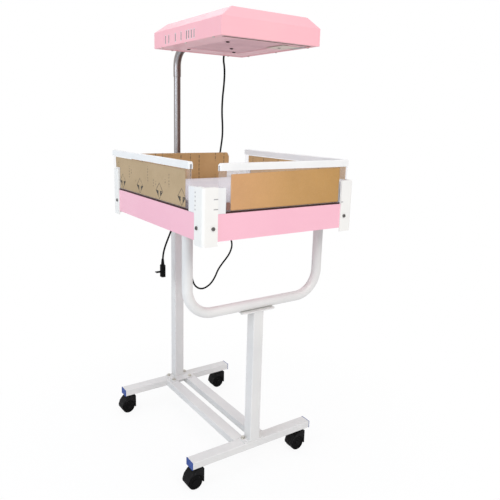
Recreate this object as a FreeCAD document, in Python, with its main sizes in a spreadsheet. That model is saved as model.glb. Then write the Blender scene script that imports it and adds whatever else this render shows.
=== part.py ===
import FreeCAD, Part
import math
import os

import Sketcher

# Infant phototherapy unit: a wheeled stand, a bed with lift-out sides and a lamp head on a column.
# Millimetres. Z is up, the origin is on the floor under the middle of the unit.
# X runs along the front of the bed, -Y is the front, +Y is the side of the column.

V = FreeCAD.Vector
ALONG_X = FreeCAD.Rotation(V(0, 1, 0), 90)
ALONG_Y = FreeCAD.Rotation(V(1, 0, 0), -90)
UNDER = FreeCAD.Rotation(V(1, 0, 0), 180)
UPRIGHT = FreeCAD.Rotation()

# Vent slots of the lamp head and screws of its base panel, places along Y
VENTS = (126, 103, 59, 22, -12, -26, -42, -58)
SCREW_ROWS = (-160, 0, 160)

# Middle line of the supply cord, from the lamp head to the plug
CORD = (
    (125, 144.1, 1390), (125.2, 192.1, 1389.9), (130, 214.1, 1366), (138, 214.6, 1329),
    (140.7, 221.1, 1280), (141, 232.1, 1226), (149, 247.5, 1172), (164, 266, 1128), (175, 283, 1085),
    (176.5, 295.5, 1040), (170, 299, 985), (165, 297.5, 925), (172, 296.2, 860), (187, 296.2, 790),
    (206, 296.2, 730), (225, 296.2, 680), (242.5, 296.2, 640), (228, 296.2, 600), (199, 296.2, 570),
    (173, 296.2, 541), (157, 296.2, 506), (133, 296.2, 478), (95, 296.2, 465), (63, 296.2, 484),
    (49, 296.2, 522), (42, 296.2, 572), (40.5, 296.2, 640), (41.5, 296.2, 715), (47, 296.2, 785),
    (57, 296.2, 848), (53, 296.2, 895), (25, 296.2, 925), (-11, 296.2, 925), (-39, 296.2, 895),
    (-42, 296.2, 850), (-33, 296.2, 795), (-34, 296.2, 743), (-53, 296.2, 700), (-69, 296.2, 664),
    (-79, 296.2, 627), (-79, 296.2, 592),
)

doc = FreeCAD.newDocument("phototherapy_unit")
sheet = doc.addObject("Spreadsheet::Sheet", "Dims")

# Driving dimensions: name, millimetres, what it measures
DIMENSIONS = [
    ("TrayMid", -25.9, "middle of the bed along Y"),
    ("SkirtX", 534, "tray skirt, outside, along X"),
    ("SkirtY", 629, "tray skirt, outside, along Y"),
    ("SkirtHigh", 75, "height of the tray skirt"),
    ("DeckTop", 900, "height of the deck above the floor"),
    ("TrayWall", 1.5, "sheet metal of the tray"),
    ("RoundFit", 0.6, "radius of the skirt's corner over that of the post's inner corner"),
    ("PostWall", 3, "outer wall of a corner post"),
    ("PostFlange", 47, "width of a corner post's flange"),
    ("PostDrop", 12, "reach of the posts below the skirt"),
    ("PostRise", 72, "reach of the posts above the deck"),
    ("PostRound", 9, "outer corner radius of a post"),
    ("ChannelGap", 10, "width of the channel in a post"),
    ("RibWall", 3, "inner wall of a post's channel"),
    ("BoltInset", 32, "post bolt from the post's outer corner"),
    ("BoltDrop", 38, "post bolt below the deck"),
    ("BoltRad", 3, "shank radius of a post bolt"),
    ("HoleFit", 0.3, "radial room of a bolt in its hole"),
    ("BoltHeadRad", 5.2, "head radius of a post bolt"),
    ("BoltHeadHigh", 3.2, "head height of a post bolt"),
    ("SocketRad", 2.2, "half width of the hexagon socket in a post bolt"),
    ("SocketDeep", 1.8, "depth of the socket in a post bolt"),
    ("NutRad", 5.8, "corner radius of a post bolt's nut"),
    ("NutHigh", 4, "height of a post bolt's nut"),
    ("ThreadEnd", 2, "end of a bolt past its nut"),
    ("SealHigh", 5, "height of the deck seal"),
    ("SealWide", 6, "width of the deck seal"),
    ("Rest", 0.3, "gap under a piece that is set down loosely"),
    ("MattressHigh", 28, "height of the mattress"),
    ("MattressGap", 4, "mattress to the inner wall of the posts"),
    ("MattressRound", 26, "corner radius of the mattress"),
    ("SheetThick", 5, "clear panel"),
    ("SheetFit", 0.2, "room of a panel in a groove, each side"),
    ("PanelRise", 135, "top of a rail above the deck"),
    ("RailHigh", 20, "height of a panel's rail"),
    ("RailWide", 14, "width of a panel's rail"),
    ("RailGroove", 13, "depth of the groove in a rail"),
    ("RailRound", 8, "rounding of a rail's upper end"),
    ("RailSoft", 2.5, "rounding along the top of a rail"),
    ("FrontEnds", 39, "front panel shorter than the bed, each end"),
    ("FrontShift", 14, "front panel to the right of the middle"),
    ("SideEnds", 34.5, "side panels shorter than the bed, each end"),
    ("LeftShift", 45, "left panel behind the middle of the bed"),
    ("RightShift", 11.5, "right panel in front of the middle of the bed"),
    ("SideFootGap", 6.5, "left panel's lower back end to the channel's end"),
    ("NotchGap", 4, "post top to the panel's notch"),
    ("BackGrip", 9, "back panel's end inside its blocks"),
    ("BackRise", 122, "top of the back panel above the deck"),
    ("BackRound", 18, "corner radius of the back panel"),
    ("TongueFit", 0.4, "room of a block in its channel, each side"),
    ("EndFit", 1, "room of a block at the channel's end"),
    ("FrontReach", 26, "front and back blocks, reach past the post's flange"),
    ("SideReach", 37, "side blocks, reach past the post's flange"),
    ("ShortReach", 2, "hidden blocks of the front and left panels, reach past the post's flange"),
    ("BlockDrop", 2, "top of a block below the top of the post"),
    ("PaperThick", 0.4, "protective paper"),
    ("PaperTopGap", 3, "paper below the rail"),
    ("PaperLowGap", 1.5, "paper above the panel's lower edge"),
    ("PaperEnd", 31, "paper from the right end of the front panel"),
    ("PaperFrontEnd", 36, "paper from the left end of the front panel"),
    ("PaperSideEnd", 26, "paper from the ends of the side panels"),
    ("FrameGap", 2.5, "skirt to the deck frame's flange, along X"),
    ("FrameFlange", 35, "width of the deck frame's flange, front and back"),
    ("RimRoom", 1, "U-tube leg to the deck frame's rim"),
    ("FrameHigh", 30, "height of the deck frame"),
    ("FrameThick", 3, "thickness of the deck frame"),
    ("LegPlateThick", 5, "plate on top of each U-tube leg"),
    ("LegPlateLong", 88, "length of that plate along Y"),
    ("LegBoltReach", 32, "leg bolt from the leg's middle"),
    ("TubeRad", 16, "outer radius of the U-tube"),
    ("TubeWall", 1.5, "wall of the U-tube"),
    ("LegRoom", 1.5, "U-tube leg to the inside of the skirt"),
    ("TubeBend", 85, "bend radius of the U-tube"),
    ("TubeLow", 576, "height of the U-tube's lower run"),
    ("SaddleThick", 4, "saddle plate under the U-tube"),
    ("SaddleX", 124, "saddle plate along X"),
    ("SaddleBolt", 51, "saddle bolt from the middle"),
    ("UprightSide", 38, "square tube of the uprights"),
    ("UprightWall", 1.5, "wall of that tube"),
    ("UprightRound", 3, "outer corner radius of that tube"),
    ("RearOver", 30, "top of the rear upright above the deck"),
    ("PlateThick", 4, "base and bracket plates"),
    ("PlateRound", 8, "corner radius of the base plates"),
    ("PlateOuter", 19, "base plates away from the cross bars"),
    ("FrontPlateX", 78, "front base plate along X"),
    ("FrontPlateIn", 24, "front base plate towards the cross bars"),
    ("FrontBoltOut", 10, "front base plate bolt from the upright's side"),
    ("FrontBoltIn", 10, "front base plate bolt towards the cross bars"),
    ("RearPlateX", 92, "rear base plate along X"),
    ("RearPlateIn", 50, "rear base plate towards the cross bars"),
    ("RearBoltSide", 17, "rear base plate bolt from the upright's side"),
    ("RearBoltIn", 39, "inner rear base plate bolt from the upright's middle"),
    ("RearBoltOut", 8, "outer rear base plate bolt from the upright's middle"),
    ("SaddleY", 46, "saddle plate along Y"),
    ("SaddleGrip", 6, "saddle bolt above the saddle plate"),
    ("WasherRad", 7.5, "washer under a frame bolt's head"),
    ("WasherHigh", 1.2, "thickness of that washer"),
    ("FrameBoltRad", 3.5, "shank radius of the frame bolts"),
    ("FrameHeadRad", 6.4, "corner radius of a frame bolt's head"),
    ("FrameHeadHigh", 4.5, "height of a frame bolt's head"),
    ("BracketX", 88, "bracket plate on the rear upright, along X"),
    ("BracketHigh", 50, "bracket plate, height"),
    ("BracketDrop", 30, "bracket bolts below the deck"),
    ("BracketBoltOut", 9, "bracket bolt from the upright's side"),
    ("SleeveRad", 8, "spacer sleeve between the bracket and the tray"),
    ("BackingX", 200, "backing plate inside the rear skirt, along X"),
    ("BackingHigh", 57, "backing plate, height"),
    ("BarLong", 472, "foot bar without its caps"),
    ("BarDeep", 40, "width of the foot and cross bars"),
    ("BarHigh", 25, "height of the foot and cross bars"),
    ("BarWall", 1.5, "wall of the bars"),
    ("BarRound", 2.5, "outer corner radius of the bars"),
    ("BarOver", 3, "underside of the bars above the caster hoods"),
    ("FrontIn", 122, "front foot bar behind the front of the skirt"),
    ("RearOut", 38, "rear foot bar behind the back of the skirt"),
    ("CrossMid", 39, "cross bar from the middle"),
    ("CapThick", 2.5, "head of an end cap"),
    ("CapPlug", 12, "plug of an end cap inside the bar"),
    ("PlugFit", 0.3, "room of a plug in its tube, each side"),
    ("CasterInset", 29, "caster from the end of the bar"),
    ("WheelRad", 25, "radius of a caster wheel"),
    ("WheelWide", 15.5, "width of a caster wheel"),
    ("HubRoom", 0.5, "wheel to the web of the hood"),
    ("WheelTrail", 18, "wheel axle behind the swivel axis"),
    ("HoodWeb", 6, "web of the hood between the wheels"),
    ("HoodRoom", 1.5, "room round a wheel under its hood"),
    ("HoodOver", 20, "top of a hood above its wheels"),
    ("HoodWide", 40, "width of a hood"),
    ("HoodSoft", 5, "rounding of a hood's edges"),
    ("HoodLow", 20, "lower edge of a hood above the floor"),
    ("HoodFront", 12, "hood in front of the swivel axis"),
    ("HoodCrown", 10, "flat top of a hood behind the swivel axis"),
    ("HoodSlope", 28, "upper bend of a hood behind the swivel axis"),
    ("HoodHip", 40, "middle bend of a hood behind the swivel axis"),
    ("HoodShell", 1.5, "shell of a hood behind the room of its wheels"),
    ("HoodSlopeDrop", 10, "upper bend of a hood below its top"),
    ("HoodHipDrop", 24, "middle bend of a hood below its top"),
    ("HoodBackDrop", 42, "lower bend of a hood below its top"),
    ("AxleRad", 4, "wheel axle"),
    ("StemRad", 5, "caster stem"),
    ("RunFit", 0.08, "radial room of what turns or slides in a bore"),
    ("StemDeep", 20, "stem inside the hood"),
    ("StemFlange", 11, "radius of the stem's flange"),
    ("StemRise", 16, "stem above the bar's underside"),
    ("StemNutRad", 9, "corner radius of the stem's nut"),
    ("ColumnRad", 12.5, "outer radius of the column"),
    ("ColumnWall", 1.5, "wall of the column"),
    ("GuideFit", 0.2, "room of the guide block in the upright, each side"),
    ("ColumnFoot", 600, "lower end of the column"),
    ("ColumnGap", 2, "upper end of the column below the arm's bend"),
    ("GuideHigh", 24, "guide block on the column's lower end"),
    ("CollarHigh", 30, "collar above the upright"),
    ("CollarRad", 18, "outer radius of the collar"),
    ("CollarBase", 4, "square base of the collar"),
    ("CollarPlug", 22, "plug of the collar inside the upright"),
    ("KnobRise", 17, "knob above the collar's base"),
    ("KnobShaft", 4, "radius of the knob's screw"),
    ("KnobBoss", 8, "radius of the boss round the knob's screw"),
    ("KnobBossLong", 10, "length of that boss past the collar"),
    ("KnobRad", 15, "radius of the knob"),
    ("KnobThick", 14, "thickness of the knob"),
    ("KnobTip", 0.3, "knob's screw to the column"),
    ("ArmWall", 1.45, "wall of the bent arm"),
    ("ArmFit", 0.05, "arm over the column, radial"),
    ("ArmLap", 37, "straight lower end of the arm"),
    ("ArmDrop", 20, "middle of the arm below the top of the lamp head's sides"),
    ("ArmBend", 60, "bend radius of the arm"),
    ("ArmInside", 42, "reach of the arm into the lamp head"),
    ("LampBack", 29.5, "lamp head's middle in front of the bed's middle"),
    ("LampX", 344, "lamp head along X"),
    ("LampY", 416, "lamp head along Y"),
    ("LampUnder", 1367, "underside of the lamp head"),
    ("LampSide", 49, "height of the lamp head's sides"),
    ("LampRoof", 29, "height of the bevelled roof"),
    ("RoofInX", 40, "bevel at the left and right"),
    ("RoofInY", 14, "bevel at the front and back"),
    ("LampWall", 1.2, "sheet metal of the lamp head"),
    ("LampLip", 9, "return lip at the lamp head's lower edge"),
    ("LipSlit", 4, "slit between the front lip and the base panel"),
    ("VentWide", 4, "width of a vent slot"),
    ("VentHigh", 23, "height of a vent slot"),
    ("VentMid", 20, "middle of the vents above the underside"),
    ("WindowSide", 67, "light window from the lamp head's left and right"),
    ("WindowEnd", 58, "light window from the lamp head's front and back, less its shift"),
    ("WindowShift", 20, "light window in front of the lamp head's middle"),
    ("WindowLap", 8, "lap of the window pane on the base panel"),
    ("PaneThick", 3, "window pane"),
    ("LampRad", 8, "lamp tube"),
    ("LampGap", 46, "spacing of the lamp tubes"),
    ("LampRise", 18, "lamp tubes above the base panel"),
    ("SocketLong", 6, "depth of the sockets in the tube holders"),
    ("HolderIn", 10, "tube holders inside the window, each end"),
    ("HolderThick", 12, "tube holders along Y"),
    ("HolderHigh", 30, "height of the tube holders"),
    ("ReflectorOut", 2, "reflector outside the window, each side"),
    ("ReflectorTop", 40, "reflector above the base panel"),
    ("ReflectorThick", 1, "sheet of the reflector"),
    ("ClampX", 50, "arm clamp block along X"),
    ("ClampY", 26, "arm clamp block along Y"),
    ("ClampHigh", 38, "height of the arm clamp block"),
    ("ClampScrew", 20, "clamp block screw from the middle"),
    ("ScrewHead", 3.6, "radius of a lamp screw's head"),
    ("ScrewHeadHigh", 1.8, "height of a lamp screw's head"),
    ("ScrewRad", 1.5, "shank of a lamp screw"),
    ("ScrewLong", 8, "length of a lamp screw"),
    ("ScrewInset", 4.6, "lamp screw from the housing's outer face"),
    ("ScrewRear", 110, "rear lamp screws from the middle"),
    ("DriverX", 50, "driver box along X"),
    ("DriverY", 120, "driver box along Y"),
    ("DriverHigh", 26, "height of the driver box"),
    ("DriverGap", 6, "driver box to the reflector"),
    ("DriverFoot", 10, "foot of the driver box past its ends"),
    ("DriverSheet", 2, "thickness of that foot"),
    ("DriverShift", 40, "driver box behind the lamp head's middle"),
    ("GlandMid", 125, "cord gland from the lamp head's middle"),
    ("GlandRise", 23, "cord gland above the underside"),
    ("GlandRad", 8, "radius of the cord gland"),
    ("GlandLong", 24, "strain relief past the rear wall"),
    ("GlandTip", 5, "radius of that relief at its end"),
    ("GlandNut", 5, "hexagon of the cord gland, along Y"),
    ("GlandLock", 4, "lock nut of the cord gland, along Y"),
    ("GlandEnd", 2, "thread of the cord gland past its lock nut"),
    ("CordRad", 3.5, "radius of the supply cord"),
    ("PlugLong", 47, "length of the plug's body"),
    ("PlugWide", 17, "width of the plug's body"),
    ("PlugDeep", 22, "depth of the plug's body"),
    ("PlugRound", 5, "corner radius of the plug's body"),
    ("PinRad", 2.2, "radius of a plug pin"),
    ("PinLong", 21, "length of a plug pin"),
    ("PinDrop", 26, "plug pins below the top of the plug"),
    ("PinSpace", 11, "spacing of the plug pins"),
    ("ReliefRad", 7, "strain relief at the plug, lower end"),
    ("ReliefTip", 4.6, "strain relief at the plug, upper end"),
    ("ReliefLong", 24, "length of that strain relief"),
]

for row, (alias, value, note) in enumerate(DIMENSIONS, start=2):
    sheet.set(f"A{row}", note)
    sheet.set(f"B{row}", str(value))
    sheet.setAlias(f"B{row}", alias)
doc.recompute()


class Size:
    """A length that knows its value and the sheet expression it comes from."""

    def __init__(self, value, text):
        self.value = value
        self.text = text

    @staticmethod
    def of(other):
        return other if isinstance(other, Size) else Size(float(other), f"({float(other)!r})")

    def __add__(self, other):
        other = Size.of(other)
        return Size(self.value + other.value, f"({self.text} + {other.text})")

    def __sub__(self, other):
        other = Size.of(other)
        return Size(self.value - other.value, f"({self.text} - {other.text})")

    def __mul__(self, other):
        other = Size.of(other)
        return Size(self.value * other.value, f"({self.text} * {other.text})")

    def __truediv__(self, other):
        other = Size.of(other)
        return Size(self.value / other.value, f"({self.text} / {other.text})")

    def __neg__(self):
        return Size(-self.value, f"(0 - {self.text})")

    def __radd__(self, other):
        return Size.of(other) + self

    def __rsub__(self, other):
        return Size.of(other) - self

    def __rmul__(self, other):
        return Size.of(other) * self


class Dimensions:
    """Gives each alias of the sheet as a Size."""

    def __getattr__(self, alias):
        return Size(float(sheet.get(alias)), f"Dims.{alias}")


d = Dimensions()
parts = []


# Helpers

def bind(thing, prop, size):
    """Sets a property to a size and ties it to the sheet."""
    size = Size.of(size)
    thing.setExpression(prop, size.text)


def place(thing, at, rotation=UPRIGHT):
    """Puts an object at a point whose coordinates are sizes."""
    at = [Size.of(value) for value in at]
    thing.Placement = FreeCAD.Placement(V(*[value.value for value in at]), rotation)
    for axis, value in zip("xyz", at):
        bind(thing, f"Placement.Base.{axis}", value)
    return thing


def part(thing, name):
    """Marks an object as a sub-part of the unit."""
    thing.Label = name
    parts.append(thing)
    return thing


def box(x, y, z, at, rotation=UPRIGHT):
    """A block with its lowest corner at a point."""
    thing = doc.addObject("Part::Box", "Block")
    bind(thing, "Length", x)
    bind(thing, "Width", y)
    bind(thing, "Height", z)
    return place(thing, at, rotation)


def block(x, y, z, middle, low):
    """A block centred over a point of the plan, from a height upwards."""
    return box(x, y, z, (middle[0] - Size.of(x) / 2, middle[1] - Size.of(y) / 2, low))


def cylinder(radius, height, at, rotation=UPRIGHT):
    thing = doc.addObject("Part::Cylinder", "Round")
    bind(thing, "Radius", radius)
    bind(thing, "Height", height)
    return place(thing, at, rotation)


def cone(low, high, height, at, rotation=UPRIGHT):
    thing = doc.addObject("Part::Cone", "Taper")
    bind(thing, "Radius1", low)
    bind(thing, "Radius2", high)
    bind(thing, "Height", height)
    return place(thing, at, rotation)


def hexagon(radius, height, at, rotation=UPRIGHT):
    thing = doc.addObject("Part::Prism", "Hex")
    thing.Polygon = 6
    bind(thing, "Circumradius", radius)
    bind(thing, "Height", height)
    return place(thing, at, rotation)


def bend(radius, tube, centre, start, end):
    """A quarter of a ring round a centre, from one direction to another."""
    thing = doc.addObject("Part::Torus", "Bend")
    bind(thing, "Radius1", radius)
    bind(thing, "Radius2", tube)
    thing.Angle1 = -180
    thing.Angle2 = 180
    thing.Angle3 = 90
    return place(thing, centre, FreeCAD.Rotation(start, end, start.cross(end), "XYZ"))


def cut(base, *tools):
    """A solid less one or more tools."""
    tool = tools[0] if len(tools) == 1 else fuse(*tools)
    thing = doc.addObject("Part::Cut", "Cut")
    thing.Base = base
    thing.Tool = tool
    return thing


def fuse(*shapes):
    thing = doc.addObject("Part::MultiFuse", "Joined")
    thing.Shapes = list(shapes)
    thing.Refine = True
    return thing


def group(*shapes):
    """Separate solids kept in one node."""
    thing = doc.addObject("Part::Compound", "Group")
    thing.Links = list(shapes)
    return thing


def origin_plane(body, role):
    for feature in body.Origin.OriginFeatures:
        if feature.Role == role:
            return feature
    raise ValueError(role)


def sketch_on(body, role, height=0):
    """An empty sketch on one of a body's own origin planes."""
    sketch = body.newObject("Sketcher::SketchObject", "Sketch")
    sketch.AttachmentSupport = [(origin_plane(body, role), "")]
    sketch.MapMode = "FlatFace"
    height = Size.of(height)
    sketch.AttachmentOffset = FreeCAD.Placement(V(0, 0, height.value), UPRIGHT)
    bind(sketch, "AttachmentOffset.Base.z", height)
    return sketch


def tie(sketch, kind, geometry, corner, size):
    """Holds one coordinate of a sketch point at a size."""
    size = Size.of(size)
    index = sketch.addConstraint(Sketcher.Constraint(kind, -1, 1, geometry, corner, size.value))
    sketch.setExpression(f"Constraints[{index}]", size.text)


def polygon(sketch, points):
    """A closed outline of straight lines through points given as sizes."""
    points = [(Size.of(x), Size.of(y)) for x, y in points]
    first = sketch.GeometryCount
    ends = points[1:] + points[:1]
    for (x, y), (next_x, next_y) in zip(points, ends):
        line = Part.LineSegment(V(x.value, y.value, 0), V(next_x.value, next_y.value, 0))
        sketch.addGeometry(line, False)
    count = len(points)
    for index, (x, y) in enumerate(points):
        here = first + index
        before = first + (index - 1) % count
        sketch.addConstraint(Sketcher.Constraint("Coincident", before, 2, here, 1))
        tie(sketch, "DistanceX", here, 1, x)
        tie(sketch, "DistanceY", here, 1, y)


def rectangle(sketch, x, y):
    """A rectangle round the sketch's own origin."""
    x, y = Size.of(x) / 2, Size.of(y) / 2
    polygon(sketch, [(-x, -y), (x, -y), (x, y), (-x, y)])


def circle(sketch, x, y, radius):
    x, y, radius = Size.of(x), Size.of(y), Size.of(radius)
    centre = V(x.value, y.value, 0)
    index = sketch.addGeometry(Part.Circle(centre, V(0, 0, 1), radius.value), False)
    tie(sketch, "DistanceX", index, 3, x)
    tie(sketch, "DistanceY", index, 3, y)
    number = sketch.addConstraint(Sketcher.Constraint("Radius", index, radius.value))
    sketch.setExpression(f"Constraints[{number}]", radius.text)


def pad(body, sketch, length, both_ways=False):
    feature = body.newObject("PartDesign::Pad", "Pad")
    feature.Profile = sketch
    bind(feature, "Length", length)
    feature.Midplane = both_ways
    body.Tip = feature
    return feature


def pocket(body, sketch, length, both_ways=False):
    feature = body.newObject("PartDesign::Pocket", "Pocket")
    feature.Profile = sketch
    bind(feature, "Length", length)
    feature.Midplane = both_ways
    body.Tip = feature
    return feature


def edges_of(feature, wanted):
    """Names of the edges for which the test is true."""
    doc.recompute()
    return [f"Edge{number}" for number, edge in enumerate(feature.Shape.Edges, start=1) if wanted(edge)]


def round_edges(body, feature, radius, wanted):
    rounding = body.newObject("PartDesign::Fillet", "Rounding")
    rounding.Base = (feature, edges_of(feature, wanted))
    bind(rounding, "Radius", radius)
    body.Tip = rounding
    doc.recompute()
    return rounding


def direction(edge):
    """Unit direction of a straight edge, or None for a curved one."""
    if not isinstance(edge.Curve, Part.Line):
        return None
    step = edge.Vertexes[-1].Point - edge.Vertexes[0].Point
    return step.normalize()


def runs_along(edge, axis):
    step = direction(edge)
    return step is not None and abs(step.dot(axis)) > 0.999


def is_upright(edge):
    return runs_along(edge, V(0, 0, 1))


def rounded_block(x, y, z, radius, middle, low):
    """A block with rounded upright edges, centred over a point of the plan."""
    body = doc.addObject("PartDesign::Body", "Body")
    outline = sketch_on(body, "XY_Plane")
    rectangle(outline, x, y)
    base = pad(body, outline, z)
    round_edges(body, base, radius, is_upright)
    return place(body, (middle[0], middle[1], low))


def square_tube(x, y, wall, length, radius, role):
    """A rectangular tube with rounded long edges, on an origin plane of its body."""
    body = doc.addObject("PartDesign::Body", "Tube")
    outline = sketch_on(body, role)
    rectangle(outline, x, y)
    base = pad(body, outline, length, both_ways=role != "XY_Plane")
    axis = {"XY_Plane": V(0, 0, 1), "YZ_Plane": V(1, 0, 0), "XZ_Plane": V(0, 1, 0)}[role]
    round_edges(body, base, radius, lambda edge: runs_along(edge, axis))
    bore = sketch_on(body, role)
    rectangle(bore, x - 2 * wall, y - 2 * wall)
    pocket(body, bore, length * 2.2, both_ways=True)
    return body


# Places that several sub-parts share

post_outer_x = d.SkirtX / 2 + d.PostWall
post_outer_y = d.SkirtY / 2 + d.PostWall
tray_front = d.TrayMid - post_outer_y
tray_back = d.TrayMid + post_outer_y
skirt_under = d.DeckTop - d.SkirtHigh
post_top = d.DeckTop + d.PostRise
core = d.PostWall + d.ChannelGap + d.RibWall
panel_inset = d.PostWall + d.ChannelGap / 2
skirt_front = d.TrayMid - d.SkirtY / 2
skirt_back = d.TrayMid + d.SkirtY / 2
skirt_round = d.PostRound - d.PostWall + d.RoundFit
front_bar = skirt_front + d.FrontIn
rear_bar = skirt_back + d.RearOut
caster_mid = d.BarLong / 2 - d.CasterInset
hood_top = 2 * d.WheelRad + d.HoodOver
bar_under = hood_top + d.BarOver
bar_top = bar_under + d.BarHigh
plate_top = bar_top + d.PlateThick
front_bolt_x = d.UprightSide / 2 + d.FrontBoltOut
rear_bolt_x = d.UprightSide / 2 + d.RearBoltSide
bracket_bolt = d.UprightSide / 2 + d.BracketBoltOut
leg_x = d.SkirtX / 2 - d.TrayWall - d.LegRoom - d.TubeRad
rear_top = d.DeckTop + d.RearOver
frame_top = d.DeckTop - d.TrayWall
lamp_mid = d.TrayMid - d.LampBack
lamp_back = lamp_mid + d.LampY / 2
lamp_front = lamp_mid - d.LampY / 2
lamp_top = d.LampUnder + d.LampSide
arm_rad = d.ColumnRad + d.ArmFit + d.ArmWall
arm_height = lamp_top - d.ArmDrop
arm_bend_low = arm_height - d.ArmBend
arm_low = arm_bend_low - d.ArmLap
column_top = arm_bend_low - d.ColumnGap
window_x = d.LampX - 2 * d.WindowSide
window_y = d.LampY - 2 * d.WindowEnd
upright_front = rear_bar - d.UprightSide / 2
bracket_front = upright_front - d.PlateThick
bracket_height = d.DeckTop - d.BracketDrop
CORNERS = ((-1, -1, 0), (1, -1, 90), (1, 1, 180), (-1, 1, 270))


# Base: foot bars, cross bars, end caps

def foot_bar(name, y, bolt_x, bolt_y):
    """A foot bar with holes for its caster stems below and two base plate bolts above."""
    bar = square_tube(d.BarDeep, d.BarHigh, d.BarWall, d.BarLong, d.BarRound, "YZ_Plane")
    holes = sketch_on(bar, "XY_Plane", -d.BarHigh / 2 + 2 * d.BarWall)
    for side in (-1, 1):
        circle(holes, side * caster_mid, 0, d.StemRad + d.HoleFit)
    pocket(bar, holes, 3 * d.BarWall)
    upper = sketch_on(bar, "XY_Plane", d.BarHigh / 2 + d.BarWall)
    for side in (-1, 1):
        circle(upper, side * bolt_x, bolt_y, d.FrameBoltRad + d.HoleFit)
    pocket(bar, upper, 3 * d.BarWall)
    return part(place(bar, (0, y, bar_under + d.BarHigh / 2)), name)


def cross_bar(name, side):
    length = rear_bar - front_bar - d.BarDeep
    bar = square_tube(d.BarDeep, d.BarHigh, d.BarWall, length, d.BarRound, "XZ_Plane")
    middle = (rear_bar + front_bar) / 2
    hole = sketch_on(bar, "XY_Plane", d.BarHigh / 2 + d.BarWall)
    circle(hole, side * (rear_bolt_x - d.CrossMid), rear_bar - d.RearBoltIn - middle, d.FrameBoltRad + d.HoleFit)
    pocket(bar, hole, 3 * d.BarWall)
    return part(place(bar, (side * d.CrossMid, middle, bar_under + d.BarHigh / 2)), name)


def end_cap(side, y):
    low = bar_under
    inner_y = d.BarDeep - 2 * d.BarWall - 2 * d.PlugFit
    inner_z = d.BarHigh - 2 * d.BarWall - 2 * d.PlugFit
    end = side * d.BarLong / 2
    head_at = end if side > 0 else end - d.CapThick
    plug_at = end - d.CapPlug if side > 0 else end
    head = box(d.CapThick, d.BarDeep, d.BarHigh, (head_at, y - d.BarDeep / 2, low))
    plug = box(d.CapPlug, inner_y, inner_z, (plug_at, y - inner_y / 2, low + d.BarHigh / 2 - inner_z / 2))
    return fuse(head, plug)


foot_bar("front_foot_bar", front_bar, front_bolt_x, d.FrontBoltIn)
foot_bar("rear_foot_bar", rear_bar, rear_bolt_x, d.RearBoltOut)
cross_bar("cross_bar_left", -1)
cross_bar("cross_bar_right", 1)
part(group(*[end_cap(side, y) for side in (-1, 1) for y in (front_bar, rear_bar)]), "foot_end_caps")


# Frame bolts, all of one size, kept together in one node

frame_bolts = []


def frame_bolt(at, rotation, grip, nut=True):
    """A hexagon bolt with its head on the point, its shank into the seat and its nut beyond the grip."""
    washer = cylinder(d.WasherRad, d.WasherHigh, (0, 0, 0))
    head = hexagon(d.FrameHeadRad, d.FrameHeadHigh, (0, 0, d.WasherHigh))
    shapes = [washer, head]
    if nut:
        length = grip + d.FrameHeadHigh + d.ThreadEnd
        shapes.append(hexagon(d.FrameHeadRad, d.FrameHeadHigh, (0, 0, -grip - d.FrameHeadHigh)))
    else:
        length = grip
    shapes.append(cylinder(d.FrameBoltRad, length, (0, 0, -length)))
    frame_bolts.append(place(fuse(*shapes), at, rotation))


# Uprights with their welded plates

hole_rad = d.FrameBoltRad + d.HoleFit
saddle_top = d.TubeLow - d.TubeRad - d.Rest
saddle_low = saddle_top - d.SaddleThick


def upright_tube(y, height):
    tube = square_tube(d.UprightSide, d.UprightSide, d.UprightWall, height, d.UprightRound, "XY_Plane")
    return place(tube, (0, y, plate_top))


def through(radius, x, y, low, height):
    """An upright drill through a plate."""
    return cylinder(radius, height, (x, y, low))


front_tube = upright_tube(front_bar, saddle_low - plate_top)
front_depth = d.FrontPlateIn + d.PlateOuter
front_mid = front_bar + (d.FrontPlateIn - d.PlateOuter) / 2
front_plate = rounded_block(d.FrontPlateX, front_depth, d.PlateThick, d.PlateRound, (Size.of(0), front_mid), bar_top)
saddle = rounded_block(d.SaddleX, d.SaddleY, d.SaddleThick, d.PlateRound, (Size.of(0), front_bar), saddle_low)
front_drills = []
for side in (-1, 1):
    bolt_y = front_bar + d.FrontBoltIn
    front_drills.append(through(hole_rad, side * front_bolt_x, bolt_y, bar_top - 2, d.PlateThick + 4))
    front_drills.append(through(hole_rad, side * d.SaddleBolt, front_bar, saddle_low - 2, d.SaddleThick + 4))
    frame_bolt((side * front_bolt_x, bolt_y, plate_top), UPRIGHT, d.PlateThick + d.BarWall)
    frame_bolt((side * d.SaddleBolt, front_bar, saddle_low), UNDER, d.SaddleThick + d.SaddleGrip, nut=False)
part(cut(fuse(front_tube, front_plate, saddle), *front_drills), "front_upright")

rear_tube = upright_tube(rear_bar, rear_top - plate_top)
rear_depth = d.RearPlateIn + d.PlateOuter
rear_mid = rear_bar - (d.RearPlateIn - d.PlateOuter) / 2
rear_plate = rounded_block(d.RearPlateX, rear_depth, d.PlateThick, d.PlateRound, (Size.of(0), rear_mid), bar_top)
bracket_low = bracket_height - d.BracketHigh / 2
bracket = box(d.BracketX, d.PlateThick, d.BracketHigh, (-d.BracketX / 2, bracket_front, bracket_low))
rear_drills = []
bracket_grip = upright_front - skirt_back + d.TrayWall + d.PlateThick
for side in (-1, 1):
    for bolt_y in (rear_bar - d.RearBoltIn, rear_bar + d.RearBoltOut):
        rear_drills.append(through(hole_rad, side * rear_bolt_x, bolt_y, bar_top - 2, d.PlateThick + 4))
        frame_bolt((side * rear_bolt_x, bolt_y, plate_top), UPRIGHT, d.PlateThick + d.BarWall)
    seat = (side * bracket_bolt, bracket_front - 2, bracket_height)
    rear_drills.append(cylinder(hole_rad, d.PlateThick + 4, seat, ALONG_Y))
    frame_bolt((side * bracket_bolt, upright_front, bracket_height), ALONG_Y, bracket_grip)
part(cut(fuse(rear_tube, rear_plate, bracket), *rear_drills), "rear_upright")


# U-tube that carries the bed at the front

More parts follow.
